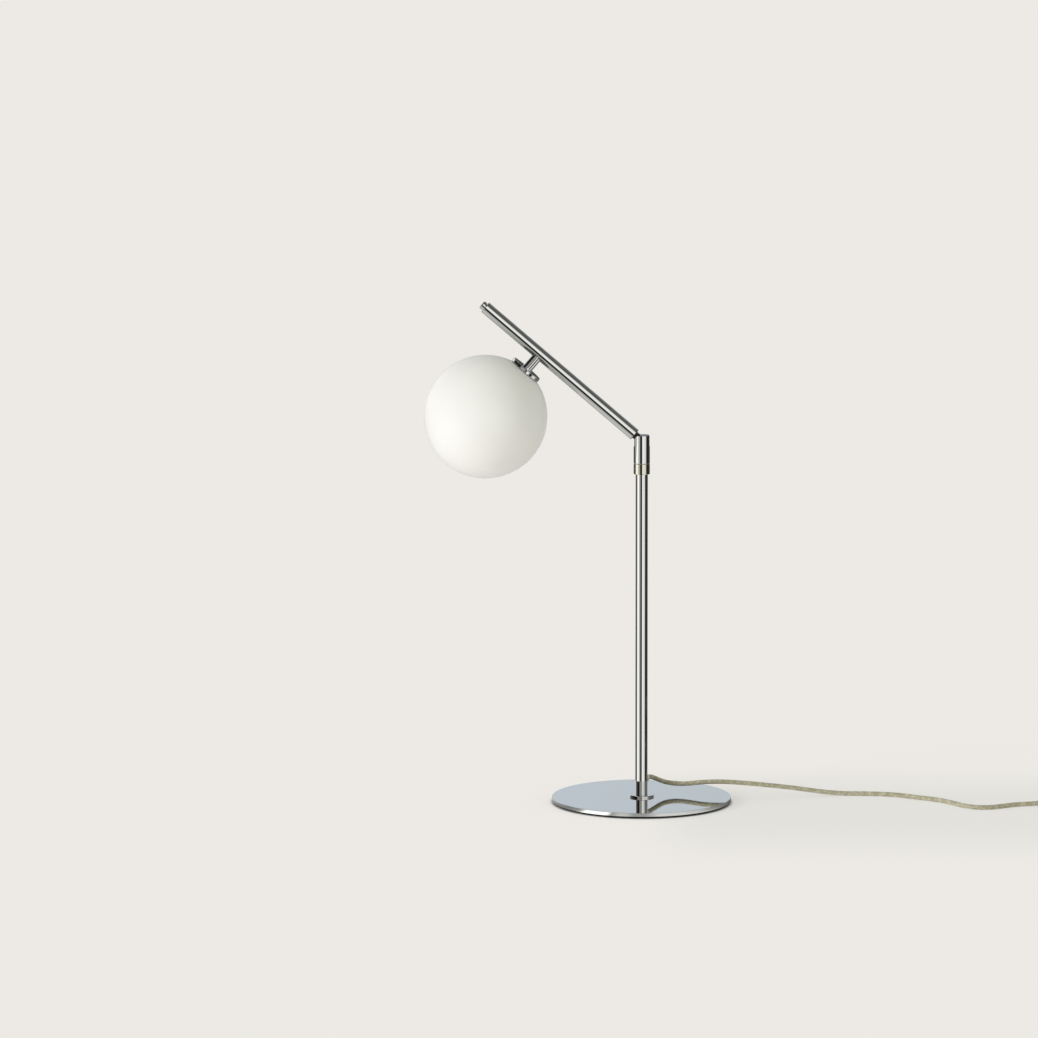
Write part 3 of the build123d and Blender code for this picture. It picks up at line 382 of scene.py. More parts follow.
def fresh_graph(owner: bpy.types.Material | bpy.types.World) -> Graph:
    """Switch on an owner's nodes and empty them; returns their graph."""
    owner.use_nodes = True
    owner.node_tree.nodes.clear()
    return Graph(owner.node_tree)


@cache
def polish_group() -> Tree:
    """Hand marks and faint polishing lines of a bright metal.

    Roughness gains Smudge where broad noise is high, and Height holds fine noise stretched
    along Z by Lines.
    """
    graph, (spot, rough, smudge, lines) = new_group("polish_marks", Vector=None,
                                                    Roughness=0.05, Smudge=0.02, Lines=0.1)
    touched = graph.ease(graph.noise(spot, 38.0, 4.0, 0.6), 0.45, 0.75)
    along = graph.add("VectorMath", {0: spot, 1: (1.0, 1.0, 0.06)}, operation="MULTIPLY")
    fine = graph.noise(along, 2600.0, 3.0)
    return graph.close(Roughness=graph.line(touched, smudge, rough),
                       Height=graph.times(fine, lines))


@cache
def drift_group() -> Tree:
    """Slow drift of a colour: Color times 1 + 2 Amount (noise - 0.5)."""
    graph, (spot, color, amount, scale) = new_group(
        "colour_drift", Vector=None, Color=(0.5, 0.5, 0.5), Amount=0.1, Scale=60.0)
    change = graph.line(graph.noise(spot, scale, 5.0, 0.65), 2.0, -1.0)
    return graph.close("Color", Color=graph.scaled(color, graph.line(change, amount, 1.0)))


@cache
def grain_group() -> Tree:
    """Fine pebble of a moulded surface, and the polish it takes where it is handled.

    Height is noise on cells of about 1 / Scale; Roughness drifts by a tenth with it.
    """
    graph, (spot, scale, rough) = new_group("moulded_grain", Vector=None, Scale=2500.0,
                                            Roughness=0.4)
    cells = graph.add("TexVoronoi", {"Vector": spot, "Scale": scale}, feature="SMOOTH_F1")
    noise = graph.noise(spot, 190.0, 6.0)
    return graph.close(Height=graph.line(noise, 0.5, cells),
                       Roughness=graph.times(rough, graph.line(noise, 0.3, 0.85)))


@cache
def wear_group() -> Tree:
    """Mask of worn outer edges: how far a rounded normal leaves the true one, with noise."""
    graph, (spot, radius) = new_group("edge_wear", Vector=None, Radius=0.0004)
    rounded = graph.add("Bevel", {"Radius": radius}, samples=4)
    true = graph.add("NewGeometry").outputs["Normal"]
    match = graph.add("VectorMath", {0: rounded, 1: true}, operation="DOT_PRODUCT").outputs[1]
    edge = graph.ease(graph.math("SUBTRACT", 1.0, match), 0.01, 0.12)
    patchy = graph.ease(graph.noise(spot, 420.0, 4.0), 0.35, 0.65)
    return graph.close(Mask=graph.times(edge, patchy))


@cache
def braid_group() -> Tree:
    """Round textile braid on the cord's own map.

    With l counted in circumferences along the cord, v from 0 to 1 round it and n strands each
    way, the strand counts are a = n (v + l) and b = n (v - l).  A strand's height is
    1 - (2 frac - 1)^2 over its width, and the set on top changes with the parity of the whole
    parts of a and b.
    """
    graph, (chart, strands) = new_group("cord_braid", Chart=None, Strands=10.0)
    along, around, _ = graph.add("SeparateXYZ", {0: chart}).outputs
    counts, heights = [], []
    for way in ("ADD", "SUBTRACT"):
        count = graph.times(graph.math(way, around, along), strands)
        across = graph.line(graph.math("FRACT", count), 2.0, -1.0)
        counts.append(count)
        heights.append(graph.math("SUBTRACT", 1.0, graph.times(across, across)))
    whole = graph.math("ADD", *(graph.math("FLOOR", count) for count in counts))
    top = graph.math("FLOORED_MODULO", whole, 2.0)
    under = graph.line(graph.choose(top, *reversed(heights)), 0.5, 0.5)
    chosen = graph.choose(top, *counts)
    strand = graph.add("TexWhiteNoise", {"W": graph.math("FLOOR", chosen)},
                       noise_dimensions="1D").outputs[0]
    return graph.close(Height=graph.times(graph.choose(top, *heights), under), Strand=strand,
                       Thread=graph.math("SINE", graph.times(chosen, 6 * math.pi)))


# ---------------------------------------------------------------- finishes
@dataclass(frozen=True)
class Finish:
    """What every finish has: the name of its slot in the record, colour and roughness."""

    slot: str
    color: Color
    roughness: float

    def shade(self, graph: Graph, shader: Node, spot: Socket) -> None:
        """Wire the finish's own pattern to the shader.

        Args:
            graph: the material's nodes.
            shader: its Principled shader.
            spot: Object coordinates in metres.
        """
        raise NotImplementedError

    def drift(self, graph: Graph, spot: Socket, amount: float, scale: float) -> Socket:
        """The finish's colour, drifting by an amount over a scale."""
        return graph.place(drift_group(), vector=spot, color=self.color, amount=amount,
                           scale=scale)[0]


@dataclass(frozen=True)
class Metal(Finish):
    """Bare or plated metal, with smudges and faint polishing lines."""

    smudge: float = 0.02
    lines: float = 0.1
    drift_by: float = 0.02

    def shade(self, graph: Graph, shader: Node, spot: Socket) -> None:
        """Metallic colour that barely drifts, roughness and height from the polish marks."""
        rough, height = graph.place(polish_group(), vector=spot, roughness=self.roughness,
                                    smudge=self.smudge, lines=self.lines)
        graph.put(shader, {"Metallic": 1.0, "Roughness": rough,
                           "Base Color": self.drift(graph, spot, self.drift_by, 45.0),
                           "Normal": graph.bump(height, 2e-6)})


@dataclass(frozen=True)
class Moulded(Finish):
    """Moulded plastic, rubber or silicone: fine grain, and edges rubbed by handling."""

    grain_scale: float = 2500.0
    grain_depth: float = 4e-6
    worn: Color | None = None
    sheer: float = 0.0

    def shade(self, graph: Graph, shader: Node, spot: Socket) -> None:
        """Grained height and roughness; worn edges turn towards the worn colour."""
        base = self.drift(graph, spot, 0.12, 90.0)
        if self.worn:
            base = graph.mix(graph.place(wear_group(), vector=spot)[0], base, self.worn)
        height, rough = graph.place(grain_group(), vector=spot, scale=self.grain_scale,
                                    roughness=self.roughness)
        graph.put(shader, {"Base Color": base, "Roughness": rough,
                           "Normal": graph.bump(height, self.grain_depth)})
        if self.sheer:
            graph.put(shader, {"Subsurface Weight": self.sheer, "Subsurface Scale": 0.002,
                               "Subsurface Radius": (1.0, 0.95, 0.85)})


@dataclass(frozen=True)
class Glazed(Finish):
    """Opal glass or glazed ceramic: an even body with faint cloud, under a soft gloss."""

    cloud: float = 0.015
    ripple: float = 1e-6
    coat: float = 0.0

    def shade(self, graph: Graph, shader: Node, spot: Socket) -> None:
        """Clouded colour, slow ripple of the blown wall, and a coat where there is one."""
        wave = graph.noise(spot, 30.0, 2.0)
        graph.put(shader, {"Base Color": self.drift(graph, spot, self.cloud, 22.0),
                           "Roughness": graph.line(wave, 0.1, self.roughness - 0.05),
                           "Coat Weight": self.coat, "Coat Roughness": 0.12,
                           "Normal": graph.bump(wave, self.ripple)})


@dataclass(frozen=True)
class Braided(Finish):
    """Textile jacket of the cord: two sets of strands, some of them of lighter yarn."""

    light: Color = (0.70, 0.66, 0.50)
    strands: float = 10.0

    def shade(self, graph: Graph, shader: Node, spot: Socket) -> None:
        """Colour by strand with painted shade between strands, and height by strand and thread.
        """
        chart = graph.add("UVMap", uv_map=CHART)
        lift, strand, thread = graph.place(braid_group(), chart=chart, strands=self.strands)
        yarn = graph.mix(graph.ease(strand, 0.55, 0.75), self.color, self.light)
        # painted shade: the yarn darker where it dips between strands
        shadow = graph.line(graph.ease(lift, 0.0, 0.75), 0.62, 0.38)
        fleck = graph.line(graph.noise(spot, 900.0, 3.0), 0.5, 0.8)
        tone = graph.line(thread, 0.06, graph.times(shadow, fleck))
        graph.put(shader, {"Base Color": graph.scaled(yarn, tone), "Sheen Weight": 0.25,
                           "Sheen Roughness": 0.5, "Specular IOR Level": 0.25,
                           "Normal": graph.bump(graph.line(thread, 0.12, lift), 2.2e-4)})


@cache
def material(finish: Finish) -> bpy.types.Material:
    """The material of a finish, made once: a Principled shader with the finish's pattern."""
    made = bpy.data.materials.new(finish.slot)
    graph = fresh_graph(made)
    shader = graph.add("BsdfPrincipled", {"Base Color": finish.color,
                                          "Roughness": finish.roughness})
    graph.add("OutputMaterial", {"Surface": shader})
    finish.shade(graph, shader, graph.add("TexCoord").outputs["Object"])
    return made


CHROME = Metal("polished_metal", (0.60, 0.605, 0.61), 0.035, smudge=0.03, lines=0.05)
PALE_BRASS = Metal("pale_brass", (0.58, 0.56, 0.485), 0.06, smudge=0.03, lines=0.1)
BRASS = Metal("brass", (0.62, 0.44, 0.19), 0.2, smudge=0.1, lines=0.5, drift_by=0.06)
BLACKENED = Metal("dark_metal", (0.045, 0.045, 0.047), 0.34, smudge=0.1, lines=0.6,
                  drift_by=0.15)
ZINC = Metal("screw_steel", (0.46, 0.465, 0.48), 0.26, smudge=0.1, lines=0.5, drift_by=0.06)
NICKEL = Metal("nickel", (0.58, 0.55, 0.50), 0.12, smudge=0.05, lines=0.2)
PAD_RUBBER = Moulded("pad_rubber", (0.018, 0.018, 0.019), 0.75, grain_scale=1400.0,
                     grain_depth=2e-5)
SILICONE = Moulded("clear_silicone", (0.70, 0.70, 0.67), 0.35, sheer=0.5)
SLIP = Moulded("slip_plastic", (0.30, 0.29, 0.27), 0.4, sheer=0.2)
FROSTED = Moulded("frosted_cover", (0.84, 0.84, 0.82), 0.6, sheer=0.5)
INSULATION = Moulded("wire_insulation", (0.24, 0.15, 0.08), 0.38)
SWITCH_BLACK = Moulded("switch_plastic", (0.012, 0.012, 0.013), 0.3,
                       worn=(0.035, 0.035, 0.037))
ROCKER_BLACK = Moulded("rocker_plastic", (0.016, 0.016, 0.017), 0.24, grain_depth=1e-6,
                       worn=(0.04, 0.04, 0.042))
SLEEVE_BLACK = Moulded("sleeve_plastic", (0.01, 0.01, 0.011), 0.45)
OPAL = Glazed("opal_glass", (0.87, 0.87, 0.835), 0.42, ripple=2e-5)
CERAMIC = Glazed("ceramic", (0.80, 0.78, 0.73), 0.4, cloud=0.05, coat=0.7)
TEXTILE = Braided("cord_jacket", (0.435, 0.405, 0.27), 0.85)
TEXTILE_INLET = Moulded("cord_jacket", (0.435, 0.405, 0.27), 0.85, grain_scale=900.0,
                        grain_depth=6e-5)


# ---------------------------------------------------------------- pieces
@dataclass
class Assembly:
    """A group of the lamp's pieces that are built and dressed together."""

    nodes: dict[str, bpy.types.Object]
    body: Body = Body.STAND
    axes: Axes = Axes()

    def make(self, name: str, surface: Surface, finish: Finish, *nodes: str,
             body: Body | None = None) -> str:
        """Make a surface a piece of the lamp, its doubles merged and its faces outwards.

        Args:
            name: the piece's name.
            surface: its mesh in the assembly's axes, in millimetres.
            finish: its finish.
            nodes: the CAD nodes that it stands for.
            body: what it moves with, where that isn't the assembly's body.

        Returns:
            The piece's name.
        """
        mesh = bpy.data.meshes.new(name)
        points = self.axes.carry(surface.points) * MM
        mesh.from_pydata(points.tolist(), [], surface.faces.tolist())
        chart = mesh.uv_layers.new(name=CHART)
        chart.data.foreach_set("uv", surface.chart.astype(np.float32).ravel())
        work = bmesh.new()
        work.from_mesh(mesh)
        bmesh.ops.remove_doubles(work, verts=work.verts, dist=SAME_POINT)
        bmesh.ops.dissolve_degenerate(work, edges=work.edges, dist=NO_EDGE)
        bmesh.ops.recalc_face_normals(work, faces=work.faces)
        work.to_mesh(mesh)
        work.free()
        mesh.polygons.foreach_set("use_smooth", np.ones(len(mesh.polygons), bool))
        mesh.set_sharp_from_angle(angle=SMOOTH_ANGLE)
        mesh.materials.append(material(finish))
        piece = bpy.data.objects.new(name, mesh)
        bpy.context.scene.collection.objects.link(piece)
        body = body or self.body
        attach(piece, body.value)
        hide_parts(*nodes)
        log.info("%s: %d faces on %s, for %s", name, len(mesh.polygons), body.value,
                 ", ".join(nodes))
        return name

    def keep(self, finish: Finish, *names: str) -> None:
        """Give CAD nodes, whose shape is right, a finish."""
        for name in names:
            slots = self.nodes[name].data.materials
            for number in range(len(slots)):
                slots[number] = material(finish)
            log.info("%s: CAD shape, %s", name, finish.slot)


@dataclass
class Stand(Assembly):
    """Pad, round base, foot, stem and the grommet where the cord comes in."""

    plate_radius: float = 87.5
    plate_hole: float = 3.0
    countersink: float = 6.0
    hole_length: float = 1.0
    rim_above: float = 0.15
    rim_below: float = 0.6
    pad_radius: float = 84.0
    pad_top: float = 1.5
    plate_top: float = 5.5
    foot_radius: float = 12.5
    foot_top: float = 7.5
    spigot_top: float = 17.5
    spigot_roof: float = 1.5
    stem_radius: float = 6.0
    bore_radius: float = 5.0
    stem_top: float = 323.9
    exit_height: float = 23.0
    exit_azimuth: float = 55.0

    def plate(self) -> Surface:
        """Disc with a chamfered rim and a countersunk hole, turned from its section."""
        r, hole, low, high = self.plate_radius, self.plate_hole, self.pad_top, self.plate_top
        corners = [(hole, high), (r - self.rim_above, high), (r, high - self.rim_above),
                   (r, low + self.rim_below), (r - self.rim_below, low),
                   (self.countersink, low), (hole, high - self.hole_length)]
        return turned(corners, [0.1, 0.05, 0.05, 0.15, 0.15, 0.1, 0.1], 256, ring=True)

    def pad(self) -> Surface:
        """Thin disc with rolled edges."""
        r, high = self.pad_radius, self.pad_top
        return turned([(0, 0), (r, 0), (r, high), (0, high)], 0.35, 192)

    def foot(self) -> Surface:
        """Collar on the plate and the hollow spigot that stands in the stem."""
        r, bore, hole, edge = self.foot_radius, self.bore_radius, self.plate_hole, 0.4
        low, high, top = self.plate_top, self.foot_top, self.spigot_top
        roof = top - self.spigot_roof
        corners = [(0, top), (bore, top), (bore, high), (r - edge, high), (r, high - edge),
                   (r, low), (hole, low), (hole, roof), (0, roof)]
        return turned(corners, [0, 0.5, 0.05, 0.14, 0.14, 0.08, 0.1, 0.1, 0], 128)

    def stem(self) -> Surface:
        """Long thin-walled tube."""
        outer, bore, low, high = self.stem_radius, self.bore_radius, self.foot_top, self.stem_top
        return turned([(outer, low), (outer, high), (bore, high), (bore, low)], 0.12, 96,
                      ring=True)

    def grommet(self) -> Surface:
        """Soft bush: inner lip, neck through the wall and a rolled outer lip."""
        hole, neck, lip, bush = 2.25, 3.4, 4.0, 4.4
        start, lip_end, wall_end, end = 2.6, 3.0, 4.05, 8.2
        corners = [(hole, start), (lip, start), (lip, lip_end), (neck, lip_end),
                   (neck, wall_end), (bush, wall_end), (bush, end), (hole, end)]
        out = math.radians(self.exit_azimuth)
        axes = Axes((0.0, 0.0, self.exit_height), (-math.sin(out), math.cos(out), 0.0),
                    (math.cos(out), math.sin(out), 0.0))
        return turned(corners, [0.1, 0.15, 0.1, 0.1, 0.1, 0.1, 0.95, 0.4], 48, ring=True).on(axes)

    def build(self) -> None:
        """Make the stand's pieces and dress its inner CAD nodes."""
        self.make("base", self.plate(), CHROME, "base_plate")
        self.make("pad", self.pad(), PAD_RUBBER, "base_pad")
        self.make("foot", self.foot(), CHROME, "stem_foot")
        self.make("stem", self.stem(), CHROME, "stem_tube")
        self.make("grommet", self.grommet(), SILICONE, "cord_grommet")
        self.keep(ZINC, "base_screw", "cord_stop")
        self.keep(TEXTILE_INLET, "cord_inlet")
        self.keep(INSULATION, "stem_wires")


@dataclass
class Elbow(Assembly):
    """Swivel on the stem and friction joint of the arm."""

    def build(self) -> None:
        """Dress the elbow's CAD nodes, whose cut shapes are right as they are."""
        self.keep(CHROME, "head_sleeve", "pivot_screw")
        self.keep(PALE_BRASS, "swivel_ring")
        self.keep(BRASS, "swivel_spigot")
        self.keep(BLACKENED, "arm_knuckle")
        self.keep(SLIP, "swivel_washer", "friction_washers")
        self.keep(ZINC, "ring_screw", "swivel_set_screw", "pivot_pin")


RISE = math.radians(40.7)
PIVOT = 356.4
NECK_AT = 130.5
UP_THE_ARM = (-math.cos(RISE), 0.0, math.sin(RISE))
OFF_THE_ARM = (math.sin(RISE), 0.0, math.cos(RISE))
ARM_AXES = Axes((0.0, 0.0, PIVOT), OFF_THE_ARM, UP_THE_ARM)
NECK_AXES = Axes(tuple(ARM_AXES.carry(np.array((0.0, 0.0, NECK_AT)))), UP_THE_ARM, OFF_THE_ARM)


@dataclass
class Arm(Assembly):
    """Arm tube and the turned button at its end; Z runs up the arm from the pivot."""

    body: Body = Body.ARM
    axes: Axes = ARM_AXES
    radius: float = 6.0
    bore: float = 5.0
    start: float = 10.0
    end: float = 200.0
    plug: float = 9.0
    waist: float = 3.3
    waist_length: float = 0.9
    button_radius: float = 4.2
    button_length: float = 4.3
    button_edge: float = 0.3

    def tube(self) -> Surface:
        """Thin-walled tube from the knuckle's shoulder to the button."""
        corners = [(self.radius, self.start), (self.radius, self.end), (self.bore, self.end),
                   (self.bore, self.start)]
        return turned(corners, [0.25, 0.25, 0.1, 0.1], 96, ring=True)

    def button(self) -> Surface:
        """Plug in the tube, narrow waist and rounded button."""
        r, low, top = self.button_radius, self.end - self.plug, self.end + self.button_length
        neck = self.end + self.waist_length
        corners = [(0, low), (self.bore, low), (self.bore, self.end), (self.waist, self.end),
                   (self.waist, neck), (r - self.button_edge, neck),
                   (r, neck + self.button_edge), (r, top), (0, top)]
        return turned(corners, [0, 0.3, 0.1, 0.1, 0.1, 0.1, 0.1, 0.8, 0], 96, steps=7)

    def build(self) -> None:
        """Make the arm's pieces and dress the wires in it."""
        self.make("arm", self.tube(), CHROME, "arm_tube")
        self.make("arm_button", self.button(), CHROME, "arm_end_cap")
        self.keep(INSULATION, "arm_wires")


@dataclass
class GlobeHead(Assembly):
    """Neck, cap, gasket and opal globe, with the lamp holder and lamp inside.

    Z runs along the neck towards the arm, and X up the arm.
    """

    body: Body = Body.ARM
    axes: Axes = NECK_AXES
    neck_radius: float = 5.0
    neck_bore: float = 4.0
    arm_radius: float = 6.0
    cap_radius: float = 16.5
    cap_top: float = -18.7
    cap_face: float = -22.3
    cap_bore: float = 3.9
    spigot_radius: float = 12.7
    spigot_bore: float = 11.2
    spigot_depth: float = 7.7
    gasket_bore: float = 12.8
    glass_rim: float = -22.8
    globe_middle: float = -80.8
    globe_radius: float = 60.0
    glass: float = 2.8
    opening: float = 13.0
    collar_radius: float = 15.0
    collar_depth: float = 7.5

    def neck(self) -> Surface:
        """Tube mitred to the arm: at the angle t its top is -sqrt(R^2 - (r sin t)^2)."""
        turn = np.linspace(0, 2 * np.pi, 72, endpoint=False)[None]
        share = np.array([0, 0.01, 0.5, 0.985, 1, 1, 0.985, 0.5, 0.01, 0])[:, None]
        radius = np.array([self.neck_radius] * 5 + [self.neck_bore] * 5)[:, None]
        top = -np.sqrt(self.arm_radius ** 2 - (radius * np.sin(turn)) ** 2)
        height = (1 - share) * self.cap_top + share * top
        rings = np.stack((radius * np.cos(turn), radius * np.sin(turn), height), -1)
        return skin(rings, looped=True)

    def cap(self) -> Surface:
        """Disc over the globe's opening with the spigot that holds the glass."""
        r, top, face = self.cap_radius, self.cap_top, self.cap_face
        hole, spigot, bore, end = (self.cap_bore, self.spigot_radius, self.spigot_bore,
                                   face - self.spigot_depth)
        above, below = 0.5, 0.3
        corners = [(hole, top), (r - above, top), (r, top - above), (r, face + below),
                   (r - below, face), (spigot, face), (spigot, end), (bore, end), (bore, face),
                   (hole, face)]
        return turned(corners, 0.12, 128, ring=True)

    def gasket(self) -> Surface:
        """Thin ring with rolled edges between cap and glass."""
        inner, outer = self.gasket_bore, self.collar_radius
        top, low = self.cap_face, self.glass_rim
        return turned([(inner, top), (outer, top), (outer, low), (inner, low)], 0.15, 96,
                      ring=True)

    def globe(self) -> Surface:
        """Blown shell: outer arc, ground rim, collar turned in, and inner arc.

        Both arcs are circles about the globe's middle, (r cos a, m + r sin a).
        """
        outer, inner = self.globe_radius, self.globe_radius - self.glass
        rim, wide = self.glass_rim - self.globe_middle, self.collar_radius
        collar = math.sqrt(inner ** 2 - wide ** 2)
        turns = (np.linspace(-np.pi / 2, math.asin(rim / outer), 90)[:-1],
                 np.linspace(math.asin(collar / inner), -np.pi / 2, 80))
        outside, inside = (size * np.column_stack((np.cos(turn), np.sin(turn)))
                           for size, turn in zip((outer, inner), turns))
        end = rim - self.collar_depth
        lip = eased([outside[-1], (math.sqrt(outer ** 2 - rim ** 2), rim), (self.opening, rim),
                     (self.opening, end), (wide, end), (wide, collar)],
                    [0, 0.35, 0.5, 0.5, 0.5, 0])
        profile = np.vstack((outside, lip, inside))
        profile[[0, -1], 0] = 0.0
        return lathe(profile + (0.0, self.globe_middle), 128)

    def build(self) -> None:
        """Make the head's pieces and dress what is inside the globe."""
        self.make("neck", self.neck(), CHROME, "neck_tube")
        self.make("cap", self.cap(), CHROME, "globe_cap")
        self.make("gasket", self.gasket(), SILICONE, "globe_gasket")
        self.make("globe", self.globe(), OPAL, "glass_globe")
        self.keep(BRASS, "neck_nipple", "holder_contacts")
        self.keep(ZINC, "holder_bracket", "neck_nut", "holder_screws")
        self.keep(CERAMIC, "lamp_holder", "lamp_base")
        self.keep(NICKEL, "lamp_pins")
        self.keep(FROSTED, "lamp_dome")


# ---------------------------------------------------------------- cords
@dataclass
class CordLine:
    """A smooth line through the route of a cord: a NURBS spline with the route's points."""

    points: np.ndarray
    spacing: float = 1.3

    def sampled(self) -> np.ndarray:
        """Points read from the spline and spread evenly along it, in millimetres."""
        curve = bpy.data.curves.new("route", "CURVE")
        curve.dimensions = "3D"
        curve.resolution_u = 12
        spline = curve.splines.new("NURBS")
        spline.points.add(len(self.points) - 1)
        spline.points.foreach_set("co", np.column_stack(
            (self.points * MM, np.ones(len(self.points)))).ravel())
        spline.order_u = 3
        spline.use_endpoint_u = True
        carrier = bpy.data.objects.new("route", curve)
        bpy.context.scene.collection.objects.link(carrier)
        bpy.context.view_layer.update()
        line = bpy.data.meshes.new_from_object(carrier)
        found = np.empty(len(line.vertices) * 3)
        line.vertices.foreach_get("co", found)
        bpy.data.objects.remove(carrier)
        bpy.data.curves.remove(curve)
        bpy.data.meshes.remove(line)
        found = found.reshape(-1, 3) / MM
        steps = np.linalg.norm(np.diff(found, axis=0), axis=1)
        at = np.r_[0.0, np.cumsum(steps)]
        count = int(round(at[-1] / self.spacing)) + 1
        even = np.linspace(0.0, at[-1], count)
        return np.column_stack([np.interp(even, at, found[:, axis]) for axis in range(3)])


RUN_ROUTE = [
    (4.70, 6.72, 23.0), (8.6, 12.3, 23.0), (14.0, 17.0, 20.2), (22.5, 20.2, 15.9),
    (33.0, 20.0, 14.1), (44.5, 17.3, 14.4), (59.0, 14.6, 16.6), (77.0, 13.2, 17.5),
    (100.0, 14.2, 15.9), (124.0, 18.2, 12.8), (149.0, 22.2, 9.4), (175.0, 26.0, 4.9),
    (197.0, 28.3, 2.25), (222.0, 27.5, 2.25), (249.0, 23.0, 2.25), (273.0, 6.0, 2.25),
    (291.5, -6.0, 2.25), (303.5, -21.0, 2.25), (311.5, -34.5, 2.25), (323.0, -44.0, 2.25),
    (337.0, -45.0, 2.25), (350.0, -38.5, 2.25), (363.0, -30.0, 2.25), (379.0, -26.5, 2.25),
    (396.0, -22.5, 2.8), (414.0, -18.0, 6.5), (432.0, -18.0, 6.5)]
LEAD_ROUTE = [(478.0, -18.0, 6.5), (492.0, -18.0, 6.5), (506.0, -18.0, 2.25)]
TAIL_ROUTE = [(510.0, 54.0, 7.25), (499.0, 55.2, 6.85), (490.0, 55.2, 6.85)]


@dataclass
class Coil:
    """The spare cord's coil: it spirals in on the table and out again on top."""

    middle: tuple[float, float] = (524.0, 18.0)
    radius: float = 36.0
    pitch: float = 5.0
    half_turns: int = 15
    points_each: int = 12
    tuck: float = 0.9
    low: float = 2.25

    def points(self) -> np.ndarray:
        """Route points of the coil.

        At t half turns the angle is 180 t - 90 degrees and the radius is the outer one less
        half a pitch for each half turn to the nearer end, less the tuck at the innermost
        turn; the height climbs one pitch between half turns 7 and 8.
        """
        t = np.linspace(0, self.half_turns, self.half_turns * self.points_each + 1)
        inward = np.minimum(t, self.half_turns - t)
        most = (self.half_turns - 1) / 2
        radius = self.radius - np.minimum(inward, most) * self.pitch / 2
        radius = radius - self.tuck * np.clip(inward - most + 1, 0, 1)
        climb = np.clip(t - most, 0, 1)
        angle = np.pi * (t - 0.5)
        return np.column_stack((self.middle[0] + radius * np.cos(angle),
                                self.middle[1] + radius * np.sin(angle),
                                self.low + self.pitch * climb * climb * (3 - 2 * climb)))


@dataclass
class Cords(Assembly):
    """The two stretches of cord: stem to switch, and switch to plug."""

    diameter: float = 4.5

    def lay(self, name: str, points: np.ndarray,
            *nodes: str) -> tuple[bpy.types.Object, np.ndarray]:
        """Make one stretch of cord along its route.

        Args:
            name: the piece's name.
            points: the route's points, in millimetres.
            nodes: the CAD nodes that it stands for.

        Returns:
            The piece and the line that it follows, in metres.
        """
        path = CordLine(points).sampled()
        self.make(name, tube_along(path, self.diameter / 2), TEXTILE, *nodes)
        return bpy.data.objects[name], path * MM

    def build(self, on_run: list[str], on_lead: list[str]) -> None:
        """Args:
            on_run: names of the pieces at the far end of the first stretch; not used.
            on_lead: names of the pieces at the far end of the second; not used.
        """
        piece, path = self.lay("cord_to_switch", np.array(RUN_ROUTE), "cord_run")
        route = np.vstack((LEAD_ROUTE, Coil().points(), TAIL_ROUTE))
        piece, path = self.lay("cord_to_plug", route, "cord_lead", "cord_coil", "cord_tail")


